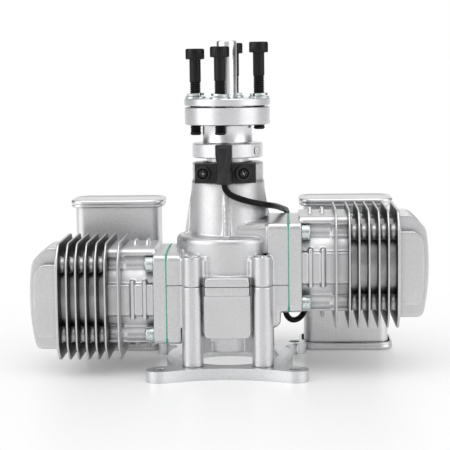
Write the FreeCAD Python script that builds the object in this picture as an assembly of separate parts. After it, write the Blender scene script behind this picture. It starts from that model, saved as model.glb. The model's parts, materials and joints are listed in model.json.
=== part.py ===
import FreeCAD, Part
import math
import os

# Flat twin two-stroke aircraft engine, standing on its mounting plate with the propeller shaft up.
# Millimetres. The origin is on the crank axis at the underside of the mounting plate, +Z runs up
# the propeller shaft, +X goes to the higher cylinder and +Y to the carburettor and mufflers.

V = FreeCAD.Vector
X_AXIS = V(1, 0, 0)
Y_AXIS = V(0, 1, 0)
Z_AXIS = V(0, 0, 1)

# Fits and clearances
running_gap = 0.06
thread_gap = 0.05
seat_gap = 0.3
web_gap = 0.35
web_side_gap = 0.6
neck_gap = 0.25
mate_gap = 1.5

# Mounting plate
plate_t = 6.0
plate_hole_x = 70.0
plate_hole_y = 74.0
plate_hole_d = 6.0
plate_lug_r = 6.8
plate_window_r = 26.0
plate_front_y = 35.4
plate_notch_x = 30.1
plate_notch_y = 23.5
plate_notch_r = 6.0
plate_lobe_x = 33.8

# Crank train
bore_d = 38.0
stroke = 26.0
rod_length = 53.5
right_axis_z = 56.3
left_axis_z = 40.0
web_r = 22.0
mid_web_t = 6.0
end_web_t = 6.5
crankpin_r = 4.5
rod_eye_w = 9.2
big_end_r = 7.4
small_end_r = 7.0
piston_crown = 14.5
piston_skirt = 13.0
piston_wall = 2.0
wrist_pin_r = 5.0
needle_t = 1.1
main_journal_r = 8.5
nose_journal_r = 7.5
hub_seat_r = 7.0

# Bearings: bore radius comes from its journal
main_bearing_r = 17.5
main_bearing_w = 10.0
nose_bearing_r = 16.0
nose_bearing_w = 9.0
rear_bearing_r = 17.5
rear_bearing_w = 11.0
race_land = 3.1
seal_t = 2.0
seal_r = 13.0

# Crankcase
body_r = 27.6
drum_top_z = 72.3
parting_z = 47.8
body_bottom_z = 23.0
rear_drum_r = 21.0
rear_drum_z = 10.7
cone_foot_r = 20.7
cone_top_r = 19.2
cone_top_z = 100.3
nose_ring_r = 18.7
nose_top_z = 110.2
rib_foot_r = 23.4
rib_top_z = 97.0
rib_t = 3.0
face_x = 31.5
flange_half_y = 26.0
flange_down = 23.2
flange_up = 23.8
flange_crown = 1.7
right_block_x = 21.0
left_block_x = 24.1
inner_block_half_y = 20.0
pillar_x = 18.2
pillar_y = 28.0
pillar_top_r = 5.0
pillar_foot_r = 5.6
pillar_top_z = 63.4
shoulder_x0 = 8.9
shoulder_x1 = 27.7
shoulder_top_z = 62.0
shoulder_corner = 4.5
case_bolt_r = 2.5
case_bolt_head_r = 4.2
case_bolt_head_h = 5.0
case_bolt_length = 36.0
panel_half_x = 12.0
panel_y = 31.0
panel_band_z0 = 43.2
panel_band_z1 = 52.5
panel_bottom_z = 22.6
panel_band_proud = 0.6

# Cylinders. Offsets along the cylinder count from the piston crown at its outermost place
base_gasket_t = 0.5
base_flange_t = 6.5
spigot_r = 20.8
spigot_x = 28.0
barrel_r = 23.0
bulge_half_z = 8.4
bulge_y = 24.6
side_block_y = 20.4
upper_block_z0 = 15.6
upper_block_z1 = 26.4
lower_block_z0 = 14.9
lower_block_z1 = 23.6
block_end = -17.6
small_rib_offsets = (4.7, 11.1)
small_rib_t = 1.8
small_rib_reach = 29.3
fin_offsets = (-24.7, -17.9, -13.0, -7.9, -2.8, 2.0)
last_fin_offset = 7.2
fin_t = 1.4
last_fin_t = 1.9
fin_half_y = 33.0
fin_up = 30.1
fin_down = 31.9
fin_cut_y = 9.7
fin_cut_z = 8.4
screw_y = 21.0
screw_z = 18.4
tool_hole_r = 3.7
base_screw_r = 2.5
base_screw_head_r = 3.9
base_screw_head_h = 4.7
base_screw_length = 14.0
head_top_h = 24.5
head_front_h = 21.6
head_plate_t = 2.2
head_plate_pitch = 7.33
head_up = 26.6
head_down = 27.4
head_front_up = 18.7
head_front_down = 20.2
head_bevel = 7.0
head_corner = 4.0

# Mufflers
muffler_offset = -16.7
muffler_half_x = 24.9
muffler_depth = 30.0
muffler_corner_r = 9.0
muffler_wall = 1.0
muffler_floor_z = 0.4
muffler_top_z = 86.5
cap_h = 4.4
cap_lip = 1.3
exhaust_face_y = 39.0
exhaust_gasket_t = 0.5
exhaust_half_x = 12.0
exhaust_half_z = 22.0
exhaust_bolt_z = 16.5
outlet_r = 6.5
outlet_wall = 1.0
outlet_offset_x = 10.4
outlet_length = 20.0

# Spark plugs
plug_tilt_deg = 70.0
plug_seat_h = 7.0
plug_seat_y = 6.0
plug_thread_r = 5.0
plug_hex_af = 14.0

# Propeller drive
hub_foot_z = 110.5
magnet_ring_z0 = 113.0
magnet_ring_z1 = 120.4
magnet_ring_r = 18.6
hub_neck_r = 13.1
hub_disc_z0 = 130.2
hub_disc_z1 = 139.4
hub_disc_r = 22.5
hub_land_r = 12.0
hub_land_h = 0.7
prop_washer_r = 22.6
prop_washer_t = 3.8
stud_r = 5.25
stud_thread_r = 4.0
stud_top_z = 174.0
bolt_circle_r = 17.15
prop_bolt_angle_deg = 80.0
prop_bolt_r = 3.0
prop_bolt_head_r = 5.0
prop_bolt_head_h = 5.6
prop_bolt_length = 40.0
prop_bolt_grip = 11.6
prop_bolt_heads_z = (165.3, 167.6, 167.3, 164.4)
flat_washer_r = 5.4
flat_washer_t = 0.9
lock_washer_r = 4.7
lock_washer_t = 1.3

# Timing sensor
sensor_x0 = -16.3
sensor_x1 = 15.2
sensor_z0 = 100.7
sensor_z1 = 110.9
sensor_y = 23.0
boot_x = -1.05
boot_half_w = 4.25
boot_y = 30.0
boot_z0 = 100.4
boot_z1 = 120.7
sensor_screw_x = (-12.0, 9.0)
sensor_screw_z = 105.7
cord_d = 3.2

# Intake and carburettor
intake_z = 35.0
intake_face_y = 36.2
intake_half_x = 19.0
intake_half_z = 12.4
port_half_x = 9.5
port_half_z = 8.5
intake_gasket_t = 0.5
reed_plate_t = 5.0
insulator_t = 8.0
carb_length = 36.0
carb_half_x = 17.0
carb_half_z = 15.0
throat_r = 8.1
venturi_r = 6.6
throttle_offset = 8.2
choke_offset = 27.8
butterfly_r = 7.7
butterfly_t = 1.0
carb_shaft_r = 2.0
lever_t = 1.6
carb_bolt_x = 13.0
carb_bolt_z = 9.5

# The cord's route, from the sensor boot to the plug on the floor behind the right muffler
cord_route = [
    (-1.05, -26.2, 102.6), (-1.05, -26.2, 99.63), (0.01, -26.35, 97.0), (1.98, -26.65, 94.96),
    (6.2, -27.0, 93.1), (13.4, -26.2, 90.9), (21.2, -20.8, 89.1), (25.6, -9.0, 87.3), (28.0, 5.0, 85.0),
    (29.8, 18.0, 83.0), (31.2, 29.5, 81.2), (31.7, 33.0, 71.5), (31.4, 31.0, 60.0),
    (30.2, 28.9, 46.0), (29.5, 28.0, 33.5), (29.9, 28.05, 23.6), (33.0, 30.85, 19.1),
    (37.6, 35.0, 19.0), (41.3, 37.5, 23.3), (42.9, 37.3, 33.5), (42.4, 36.6, 45.0),
    (38.8, 37.0, 55.5), (33.9, 42.5, 61.5), (31.4, 52.0, 63.0), (31.4, 62.0, 60.5),
    (33.4, 71.5, 54.5), (37.6, 77.4, 43.5), (41.6, 79.6, 30.5), (45.6, 81.4, 18.0),
    (51.8, 84.6, 8.0), (60.4, 88.2, 3.0), (70.0, 89.8, 3.0),
]
plug_size = (14.0, 8.0, 5.8)


def box(x0, x1, y0, y1, z0, z1):
    return Part.makeBox(x1 - x0, y1 - y0, z1 - z0, V(x0, y0, z0))


def cyl(r, start, end):
    """A cylinder between two points."""
    start = V(*start)
    end = V(*end)
    return Part.makeCylinder(r, (end - start).Length, start, end - start)


def tube(r_out, r_in, start, end):
    return cyl(r_out, start, end).cut(cyl(r_in, start, end))


def polygon(points):
    return Part.makePolygon([V(*p) for p in points] + [V(*points[0])])


def prism(points, direction):
    return Part.Face(polygon(points)).extrude(V(*direction))


def revolve_z(profile):
    """Turns a closed outline of (radius, z) pairs about the crank axis."""
    return Part.Face(polygon([(r, 0, z) for r, z in profile])).revolve(V(0, 0, 0), Z_AXIS, 360)


def mirror_x(shape):
    return shape.mirror(V(0, 0, 0), X_AXIS)


def moved(shape, x=0.0, y=0.0, z=0.0):
    copy = shape.copy()
    copy.translate(V(x, y, z))
    return copy


def compound(shapes):
    return Part.makeCompound(shapes)


def rounded(shape, radius, wanted):
    """Fillets the edges that wanted() picks."""
    return shape.makeFillet(radius, [e for e in shape.Edges if wanted(e)])


def vertical(edge):
    box_ = edge.BoundBox
    return box_.ZLength > 1e-3 and box_.XLength < 1e-6 and box_.YLength < 1e-6


def rounded_bar(x_half, y_half, z0, z1, radius, x=0.0, y=0.0):
    """A block with rounded upright edges about (x, y)."""
    return rounded(box(x - x_half, x + x_half, y - y_half, y + y_half, z0, z1), radius, vertical)


def hex_prism(across_flats, start, end):
    start = V(*start)
    axis = V(*end) - start
    corners = [(across_flats / math.sqrt(3) * math.cos(math.radians(60 * k)),
                across_flats / math.sqrt(3) * math.sin(math.radians(60 * k)), 0) for k in range(6)]
    shape = prism(corners, (0, 0, axis.Length))
    shape.Placement = FreeCAD.Placement(start, FreeCAD.Rotation(Z_AXIS, axis))
    return shape


def socket_screw(seat, direction, shank_r, length, head_r, head_h, socket_af):
    """A socket head cap screw. seat is the middle of the head's underside, direction points out of the head."""
    seat = V(*seat)
    out = V(*direction)
    head = Part.makeCylinder(head_r, head_h, seat, out)
    rim = [e for e in head.Edges if e.Closed and (e.CenterOfMass - seat - out * head_h).Length < 1e-6]
    head = head.makeChamfer(0.09 * head_h, rim)
    shank = Part.makeCylinder(shank_r, length, seat, out * -1)
    socket = hex_prism(socket_af, tuple(seat + out * (0.45 * head_h)), tuple(seat + out * (head_h + 1)))
    return head.fuse(shank).cut(socket).removeSplitter()


def flange_outline(x, axis_z):
    """The joint outline of a cylinder: straight sides, a slightly crowned top, rounded corners."""
    low = axis_z - flange_down
    high = axis_z + flange_up
    y = flange_half_y
    corner = 3.0
    k = corner * (1 - math.sqrt(0.5))
    lines = [
        Part.LineSegment(V(x, -y + corner, low), V(x, y - corner, low)),
        Part.Arc(V(x, y - corner, low), V(x, y - k, low + k), V(x, y, low + corner)),
        Part.LineSegment(V(x, y, low + corner), V(x, y, high - corner)),
        Part.Arc(V(x, y, high - corner), V(x, y - k, high - k), V(x, y - corner, high)),
        Part.Arc(V(x, y - corner, high), V(x, 0, high + flange_crown), V(x, -y + corner, high)),
        Part.Arc(V(x, -y + corner, high), V(x, -y + k, high - k), V(x, -y, high - corner)),
        Part.LineSegment(V(x, -y, high - corner), V(x, -y, low + corner)),
        Part.Arc(V(x, -y, low + corner), V(x, -y + k, low + k), V(x, -y + corner, low)),
    ]
    return Part.Face(Part.Wire([line.toShape() for line in lines]))


def flange_block(x0, x1, axis_z):
    return flange_outline(x0, axis_z).extrude(V(x1 - x0, 0, 0))


# Heights and places that follow from the driving dimensions
bore_r = bore_d / 2
crank_r = stroke / 2
tdc_pin_x = crank_r + rod_length
crown_x = tdc_pin_x + piston_crown
chamber_r = web_r + web_side_gap
mid_web_z = (right_axis_z + left_axis_z) / 2
axis_gap = right_axis_z - left_axis_z
pin_half = (axis_gap - mid_web_t) / 2 - seat_gap
top_web_z = right_axis_z + pin_half + seat_gap
bottom_web_z = left_axis_z - pin_half - seat_gap
chamber_top_z = top_web_z + end_web_t + web_gap
chamber_bottom_z = bottom_web_z - end_web_t - web_gap
main_bearing_z = chamber_top_z + 0.7
main_seat_z = main_bearing_z + main_bearing_w
nose_bearing_z1 = nose_top_z - seal_t
nose_bearing_z0 = nose_bearing_z1 - nose_bearing_w
rear_bearing_z1 = chamber_bottom_z - 0.5
rear_bearing_z0 = rear_bearing_z1 - rear_bearing_w
shaft_foot_z = rear_bearing_z0 - 1.0
rear_floor_z = shaft_foot_z - 0.6
cylinder_x = face_x + base_gasket_t
barrel_x = cylinder_x + base_flange_t
small_rib_x = [barrel_x + d for d in small_rib_offsets]
fin_x = [crown_x + d for d in fin_offsets]
last_fin_x = crown_x + last_fin_offset
block_end_x = crown_x + block_end
head_top_x = crown_x + head_top_h
head_front_x = crown_x + head_front_h
plug_seat = (crown_x + plug_seat_h, plug_seat_y)
muffler_x = crown_x + muffler_offset
case_bolt_seat_z = pillar_top_z - case_bolt_head_h - 0.6
hub_top_z = hub_disc_z1 + hub_land_h
washer_top_z = hub_top_z + prop_washer_t
muffler_y0 = exhaust_face_y + exhaust_gasket_t
muffler_y1 = muffler_y0 + muffler_depth
muffler_mid_y = (muffler_y0 + muffler_y1) / 2
outlet_x = muffler_x + outlet_offset_x
outlet_z = mid_web_z + exhaust_bolt_z
intake_plate_y = intake_face_y + intake_gasket_t
insulator_y = intake_plate_y + reed_plate_t
carb_y0 = insulator_y + insulator_t
carb_y1 = carb_y0 + carb_length
throttle_y = carb_y0 + throttle_offset
choke_y = carb_y0 + choke_offset
pillars = [(sx * pillar_x, sy * pillar_y) for sx in (-1, 1) for sy in (-1, 1)]
plate_holes = [(sx * plate_hole_x / 2, sy * plate_hole_y / 2) for sx in (-1, 1) for sy in (-1, 1)]
prop_bolts_at = [(bolt_circle_r * math.cos(math.radians(prop_bolt_angle_deg + 90 * k)),
                  bolt_circle_r * math.sin(math.radians(prop_bolt_angle_deg + 90 * k)))
                 for k in (2, 3, 0, 1)]


def mounting_plate():
    """The cross-shaped plate: four lugs, hollowed front and back, a lobe between two notches each side."""
    hx = plate_hole_x / 2
    hy = plate_hole_y / 2
    notch_in = plate_notch_x + plate_notch_r
    reach = 0.7 * plate_notch_r
    front = []
    lug_in = (hx - 3.2, -hy - math.sqrt(plate_lug_r ** 2 - 3.2 ** 2), 0)
    lug_out = (hx + 1.4, -hy + math.sqrt(plate_lug_r ** 2 - 1.4 ** 2), 0)
    notch_low = (notch_in - 0.4, -plate_notch_y - plate_notch_r + 0.1, 0)
    notch_mid = (plate_notch_x, -plate_notch_y, 0)
    notch_high = (notch_in - 0.93 * plate_notch_r * 0.9, -plate_notch_y + reach, 0)
    lug_tip = (hx + plate_lug_r, -hy, 0)
    mirrored = [(x, -y, z) for x, y, z in (notch_high, notch_mid, notch_low, lug_out, lug_tip, lug_in)]
    half = [
        Part.Arc(V(-lug_in[0], lug_in[1], 0), V(0, -plate_front_y, 0), V(*lug_in)),
        Part.Arc(V(*lug_in), V(*lug_tip), V(*lug_out)),
        Part.LineSegment(V(*lug_out), V(*notch_low)),
        Part.Arc(V(*notch_low), V(*notch_mid), V(*notch_high)),
        Part.Arc(V(*notch_high), V(plate_lobe_x, 0, 0), V(*mirrored[0])),
        Part.Arc(V(*mirrored[0]), V(*mirrored[1]), V(*mirrored[2])),
        Part.LineSegment(V(*mirrored[2]), V(*mirrored[3])),
        Part.Arc(V(*mirrored[3]), V(*mirrored[4]), V(*mirrored[5])),
    ]
    edges = [line.toShape() for line in half]
    turned = []
    for edge in edges:
        other = edge.copy()
        other.rotate(V(0, 0, 0), Z_AXIS, 180)
        turned.append(other)
    plate = Part.Face(Part.Wire(Part.__sortEdges__(edges + turned))).extrude(V(0, 0, plate_t))
    plate = plate.cut(cyl(plate_window_r, (0, 0, -1), (0, 0, plate_t + 1)))
    for x, y in plate_holes:
        plate = plate.cut(cyl(plate_hole_d / 2, (x, y, -1), (x, y, plate_t + 1)))
    for x, y in pillars:
        plate = plate.cut(plate_screw_hole(x, y))
    return plate


def plate_screw_hole(x, y):
    sink = Part.makeCone(5.2, case_bolt_r + 0.1, 2.9, V(x, y, 0))
    return sink.fuse(cyl(case_bolt_r + 0.1, (x, y, 2.8), (x, y, plate_t + 1)))


def plate_screw(x, y):
    head = Part.makeCone(4.8, case_bolt_r, 2.7, V(x, y, 0.3))
    shank = cyl(case_bolt_r, (x, y, 2.9), (x, y, plate_t + 9))
    socket = hex_prism(3.0, (x, y, 0), (x, y, 2.0))
    return head.fuse(shank).cut(socket).removeSplitter()


def rod_pocket(side, axis_z):
    """Room for the big end over the whole stroke, at the height of one rod."""
    tilt = math.asin(crank_r / rod_length)
    far = rod_length * math.cos(tilt)
    near_x = tdc_pin_x - far
    away_x = far - (tdc_pin_x - stroke)
    edge = big_end_r + 0.5
    bar = rounded(box(-away_x - edge, near_x + edge, -crank_r - edge, crank_r + edge,
                      axis_z - pin_half - seat_gap, axis_z + pin_half + seat_gap), edge - 0.1, vertical)
    return bar if side > 0 else mirror_x(bar)


def case_cavity():
    """Everything that is hollow in the crankcase, for both halves."""
    cuts = [
        cyl(chamber_r, (0, 0, chamber_bottom_z), (0, 0, chamber_top_z)),
        cyl(main_bearing_r, (0, 0, chamber_top_z - 1), (0, 0, main_seat_z)),
        cyl(main_bearing_r - 3.5, (0, 0, main_seat_z - 1), (0, 0, nose_bearing_z0 + 1)),
        cyl(nose_bearing_r, (0, 0, nose_bearing_z0), (0, 0, nose_bearing_z1)),
        cyl(seal_r, (0, 0, nose_bearing_z1 - 1), (0, 0, nose_top_z + 1)),
        cyl(rear_bearing_r, (0, 0, rear_bearing_z0), (0, 0, chamber_bottom_z + 1)),
        cyl(nose_journal_r + 1.5, (0, 0, rear_floor_z), (0, 0, rear_bearing_z0 + 1)),
        cyl(spigot_r + seat_gap, (0, 0, right_axis_z), (face_x + 1, 0, right_axis_z)),
        cyl(spigot_r + seat_gap, (0, 0, left_axis_z), (-face_x - 1, 0, left_axis_z)),
        rod_pocket(1, right_axis_z),
        rod_pocket(-1, left_axis_z),
        box(-port_half_x, port_half_x, chamber_r - 4, intake_face_y + 1,
            intake_z - port_half_z, intake_z + port_half_z),
    ]
    for x, y in pillars:
        cuts.append(cyl(case_bolt_head_r + 0.15, (x, y, case_bolt_seat_z), (x, y, pillar_top_z + 1)))
        cuts.append(cyl(case_bolt_r + thread_gap, (x, y, case_bolt_seat_z - case_bolt_length - 0.5),
                        (x, y, case_bolt_seat_z + 1)))
        cuts.append(cyl(case_bolt_r + thread_gap, (x, y, plate_t - 1), (x, y, plate_t + 9.5)))
    for side, axis_z in ((1, right_axis_z), (-1, left_axis_z)):
        for y, z in base_screws(axis_z):
            cuts.append(cyl(base_screw_r + thread_gap, (side * (face_x - 8.2), y, z), (side * (face_x + 1), y, z)))
    for x, z in carb_bolts():
        cuts.append(cyl(case_bolt_r + thread_gap, (x, intake_face_y - 5.2, z), (x, intake_face_y + 1, z)))
    for x in sensor_screw_x:
        cuts.append(cyl(1.5 + thread_gap, (x, -nose_ring_r, sensor_screw_z), (x, -sensor_screw_end(x), sensor_screw_z)))
    return cuts


def sensor_screw_end(x):
    """How near the crank axis a sensor screw may reach without meeting the nose bearing."""
    return math.sqrt((nose_bearing_r + 0.6) ** 2 - (abs(x) - 1.6) ** 2)


def base_screws(axis_z):
    return [(sy * screw_y, axis_z + sz * screw_z) for sy in (-1, 1) for sz in (-1, 1)]


def carb_bolts():
    return [(carb_bolt_x, intake_z - carb_bolt_z), (-carb_bolt_x, intake_z + carb_bolt_z)]


def case_body():
    """The outside of both crankcase halves together."""
    drum = cyl(body_r, (0, 0, body_bottom_z), (0, 0, drum_top_z))
    drum = rounded(drum, 3.0, lambda e: e.Closed and e.BoundBox.ZLength < 1e-6)
    cone = Part.makeCone(cone_foot_r, cone_top_r, cone_top_z - drum_top_z + 1, V(0, 0, drum_top_z - 1))
    ring = cyl(nose_ring_r, (0, 0, cone_top_z - 1), (0, 0, nose_top_z))
    rear = cyl(rear_drum_r, (0, 0, rear_drum_z), (0, 0, body_bottom_z + 2))
    rear = rounded(rear, 1.2, lambda e: e.Closed and abs(e.BoundBox.ZMax - rear_drum_z) < 1e-6)
    right_flange = flange_block(right_block_x, face_x, right_axis_z)
    left_flange = flange_block(-left_block_x, -face_x, left_axis_z)
    y = inner_block_half_y
    right_inner = box(6, right_block_x + 1, -y, y, right_axis_z - flange_down + 0.4, right_axis_z + flange_up - 0.6)
    left_inner = box(-left_block_x - 1, -6, -y, y, left_axis_z - flange_down + 0.4, left_axis_z + flange_up - 0.6)
    right_inner = rounded(right_inner, 4.0, lambda e: e.BoundBox.XLength > 5 and e.BoundBox.ZMin > right_axis_z)
    left_inner = rounded(left_inner, 4.0, lambda e: e.BoundBox.XLength > 5 and e.BoundBox.ZMin > left_axis_z)
    body = drum.multiFuse([cone, ring, rear, right_flange, left_flange, right_inner, left_inner])
    extras = []
    for x, y in pillars:
        sign = 1 if x > 0 else -1
        front = 1 if y > 0 else -1
        shoulder = box(min(sign * shoulder_x0, sign * shoulder_x1), max(sign * shoulder_x0, sign * shoulder_x1),
                       min(front * 12, front * flange_half_y), max(front * 12, front * flange_half_y),
                       body_bottom_z + 2, shoulder_top_z)
        low = body_bottom_z + 2
        shoulder = rounded(shoulder, shoulder_corner, lambda e: e.BoundBox.YLength > 5 and e.BoundBox.ZMax < low + 1
                           and abs(e.BoundBox.XMin + e.BoundBox.XMax) > 2 * shoulder_x1 - 1)
        shoulder = rounded(shoulder, 2.5, lambda e: vertical(e) and abs(e.BoundBox.YMax + e.BoundBox.YMin) > 40)
        extras.append(shoulder)
        extras.append(Part.makeCone(pillar_foot_r, pillar_top_r, pillar_top_z - plate_t, V(x, y, plate_t)))
        web = box(0, math.hypot(x, y), -3.2, 3.2, rear_drum_z + 0.4, body_bottom_z + 3)
        web.rotate(V(0, 0, 0), Z_AXIS, math.degrees(math.atan2(y, x)))
        extras.append(web)
    for k in range(4):
        rib = prism([(cone_top_r - 3, -rib_t / 2, drum_top_z - 1), (rib_foot_r + 0.1, -rib_t / 2, drum_top_z - 1),
                     (cone_top_r, -rib_t / 2, rib_top_z), (cone_top_r - 3, -rib_t / 2, rib_top_z)], (0, rib_t, 0))
        rib.rotate(V(0, 0, 0), Z_AXIS, 90 * k)
        extras.append(rib)
    extras.append(box(-panel_half_x, panel_half_x, -panel_y, -15, panel_bottom_z, panel_band_z0))
    extras.append(box(-panel_half_x + 0.7, panel_half_x - 0.7, -panel_y - panel_band_proud, -15,
                      panel_band_z0, panel_band_z1))
    extras.append(box(-13, 13, 15, intake_face_y, intake_z - intake_half_z, intake_z + intake_half_z))
    extras.append(box(-intake_half_x, intake_half_x, intake_face_y - 2.2, intake_face_y,
                      intake_z - intake_half_z, intake_z + intake_half_z))
    return body.multiFuse(extras).multiFuse([carb_boss(x, z) for x, z in carb_bolts()]).removeSplitter()


def carb_boss(x, z):
    return cyl(4.4, (x, pillar_y - 2, z), (x, intake_face_y, z))


def crankcase_halves():
    whole = case_body()
    for cut in case_cavity():
        whole = whole.cut(cut)
    wide = 80
    above = box(-wide, wide, -wide, wide, parting_z, nose_top_z + 5)
    below = box(-wide, wide, -wide, wide, 0, parting_z)
    return whole.common(above), whole.common(below)


def crankcase_bolts():
    return [socket_screw((x, y, case_bolt_seat_z), (0, 0, 1), case_bolt_r, case_bolt_length,
                         case_bolt_head_r, case_bolt_head_h, 4.0) for x, y in pillars]


def fin_face(x):
    """One cooling fin: corners cut off, front and back edges slightly bowed."""
    y = fin_half_y - 1.2
    a = fin_half_y - fin_cut_y
    top = fin_up
    low = -fin_down
    points = [(x, -a, top), (x, a, top), (x, y, top - fin_cut_z), (x, y, low + fin_cut_z), (x, a, low), (x, -a, low),
              (x, -y, low + fin_cut_z), (x, -y, top - fin_cut_z)]
    edges = []
    for k in range(8):
        p = V(*points[k])
        q = V(*points[(k + 1) % 8])
        if k == 2:
            edges.append(Part.Arc(p, V(x, fin_half_y, 0), q).toShape())
        elif k == 6:
            edges.append(Part.Arc(p, V(x, -fin_half_y, 0), q).toShape())
        else:
            edges.append(Part.LineSegment(p, q).toShape())
    return Part.Face(Part.Wire(edges))


def head_plate(y, outer_x, up, down, bevel):
    """One fin of the cylinder head, standing along the cylinder's axis: bevelled above, rounded below."""
    start = last_fin_x
    c = head_corner
    bow = 0.6
    points = [V(start, y, -down), V(outer_x - bow, y, -down), V(outer_x - bow, y, up - bevel),
              V(outer_x - bow - bevel, y, up), V(start, y, up)]
    plate = Part.Face(Part.makePolygon(points + [points[0]])).extrude(V(0, head_plate_t, 0))
    plate.translate(V(0, -head_plate_t / 2, 0))

    def corner(x, z):
        return lambda e: (e.BoundBox.YLength > head_plate_t / 2 and abs(e.BoundBox.XMin - x) < 1e-6
                          and abs(e.BoundBox.ZMin - z) < 1e-6)
    plate = rounded(plate, c, corner(outer_x - bow, -down))
    for x, z in ((outer_x - bow, up - bevel), (outer_x - bow - bevel, up)):
        plate = rounded(plate, c, corner(x, z))
    return plate


def plug_frame():
    """The spark plug's seat and the direction in which it leaves the head."""
    angle = math.radians(plug_tilt_deg)
    return V(plug_seat[0], plug_seat[1], 0), V(math.cos(angle), math.sin(angle), 0)


def along_plug(distance):
    seat, out = plug_frame()
    return tuple(seat + out * distance)


def right_cylinder_casting():
    """The right cylinder with its axis at height zero: core, ring fins and head fins.

    The real cylinder is one casting. The fins are solids of their own that start at the core's skin.
    """
    body = [flange_block(cylinder_x, barrel_x, 0), cyl(spigot_r, (spigot_x, 0, 0), (barrel_x, 0, 0)),
            cyl(barrel_r, (barrel_x - 1, 0, 0), (last_fin_x + 4, 0, 0))]
    bulge = box(barrel_x - 1, block_end_x, -bulge_y, bulge_y, -bulge_half_z, bulge_half_z)
    body.append(rounded(bulge, 1.2, lambda e: e.BoundBox.XLength > 5))
    upper = box(barrel_x - 1, block_end_x, -side_block_y, side_block_y, upper_block_z0, upper_block_z1)
    body.append(rounded(upper, 3.2, lambda e: e.BoundBox.XLength > 5 and e.BoundBox.ZMin > upper_block_z0 + 1))
    lower = box(barrel_x - 1, block_end_x, -side_block_y, side_block_y, -lower_block_z1, -lower_block_z0)
    body.append(rounded(lower, 3.2, lambda e: e.BoundBox.XLength > 5 and e.BoundBox.ZMax < -lower_block_z0 - 1))
    for x in small_rib_x:
        half = small_rib_t / 2
        body.append(box(x - half, x + half, -bulge_y - 1.6, bulge_y + 1.6, -bulge_half_z - 1.8, bulge_half_z + 1.8))
        body.append(prism([(x - half, -9, -lower_block_z1 + 1), (x - half, -4, -small_rib_reach),
                           (x - half, 4, -small_rib_reach), (x - half, 9, -lower_block_z1 + 1),
                           (x - half, 9, upper_block_z1 - 1), (x - half, 4, small_rib_reach),
                           (x - half, -4, small_rib_reach), (x - half, -9, upper_block_z1 - 1)],
                          (small_rib_t, 0, 0)))
    duct = box(muffler_x - exhaust_half_x + 1, muffler_x + exhaust_half_x - 1, 10, exhaust_face_y, -11, 11)
    flange = rounded(box(muffler_x - exhaust_half_x, muffler_x + exhaust_half_x, exhaust_face_y - 6,
                         exhaust_face_y, -exhaust_half_z, exhaust_half_z), 5.0,
                     lambda e: e.BoundBox.YLength > 5)
    boss = cyl(9.6, along_plug(-4), along_plug(10))
    plug_space = cyl(11.0, along_plug(7.5), along_plug(60))
    core = body[0]
    for piece in body[1:] + [duct, flange, boss]:
        core = core.fuse(piece)
    core = core.cut(plug_space)
    ring_fins = [fin_face(x - fin_t / 2).extrude(V(fin_t, 0, 0)) for x in fin_x]
    ring_fins.append(fin_face(last_fin_x - last_fin_t / 2).extrude(V(last_fin_t, 0, 0)))
    head_fins = []
    for k in range(-3, 4):
        y = k * head_plate_pitch
        if abs(k) == 3:
            plate = head_plate(y, head_front_x, head_front_up, head_front_down, head_corner * 0.9)
        else:
            plate = head_plate(y, head_top_x, head_up, head_down, head_bevel)
        head_fins.append(plate.cut(ring_fins[-1]))
    tool_cuts = []
    for sy in (-1, 1):
        for sz in (-1, 1):
            y = sy * screw_y
            z = sz * screw_z
            tool_cuts.append(cyl(base_screw_head_r + 0.6, (barrel_x, y, z), (fin_x[0] - 2, y, z)))
            tool_cuts.append(cyl(tool_hole_r, (fin_x[0] - 3, y, z), (last_fin_x + last_fin_t / 2 + 0.01, y, z)))
    for sz in (-1, 1):
        z = sz * exhaust_bolt_z
        tool_cuts.append(cyl(case_bolt_r + thread_gap, (muffler_x, exhaust_face_y - 8, z),
                             (muffler_x, exhaust_face_y + 1, z)))
    ring_fins = [trimmed(fin, core, tool_cuts + [plug_space]) for fin in ring_fins]
    head_fins = [trimmed(fin, core, tool_cuts + [plug_space]) for fin in head_fins]
    core_cuts = [
        cyl(bore_r, (spigot_x - 1, 0, 0), (crown_x + 1.0, 0, 0)),
        Part.makeCone(bore_r - 3.0, 5.0, 6.0, V(crown_x + 0.99, 0, 0), X_AXIS),
        box(muffler_x - 8, muffler_x + 5, 5, exhaust_face_y + 1, -8, 8),
        cyl(plug_thread_r + thread_gap, along_plug(-14), along_plug(8)),
    ]
    for sy in (-1, 1):
        for sz in (-1, 1):
            core_cuts.append(cyl(base_screw_r + 0.2, (cylinder_x - 1, sy * screw_y, sz * screw_z),
                                 (barrel_x + 1, sy * screw_y, sz * screw_z)))
    for z0, z1 in ((bore_r - 1, bore_r + 1.5), (-bore_r - 1.5, -bore_r + 1)):
        core_cuts.append(box(spigot_x - 1, crown_x - stroke + 6, -6, 6, z0, z1))
    for cut in core_cuts + tool_cuts:
        core = core.cut(cut)
    return core.removeSplitter(), ring_fins, head_fins


def trimmed(fin, core, cuts):
    """A fin where it stands clear of the core."""
    fin = fin.cut(core.copy())
    for cut in cuts:
        fin = fin.cut(cut.copy())
    return fin.removeSplitter()


def base_gasket(side, axis_z):
    x0 = face_x
    plate = flange_block(x0, x0 + base_gasket_t, axis_z)
    plate = plate.cut(cyl(spigot_r + seat_gap, (x0 - 1, 0, axis_z), (x0 + 2, 0, axis_z)))
    for y, z in base_screws(axis_z):
        plate = plate.cut(cyl(base_screw_r + 0.2, (x0 - 1, y, z), (x0 + 2, y, z)))
    return plate if side > 0 else mirror_x(plate)


def cylinder_screws(side, axis_z):
    made = [socket_screw((barrel_x, y, z), (1, 0, 0), base_screw_r, base_screw_length, base_screw_head_r,
                         base_screw_head_h, 4.0) for y, z in base_screws(axis_z)]
    return made if side > 0 else [mirror_x(s) for s in made]


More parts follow.
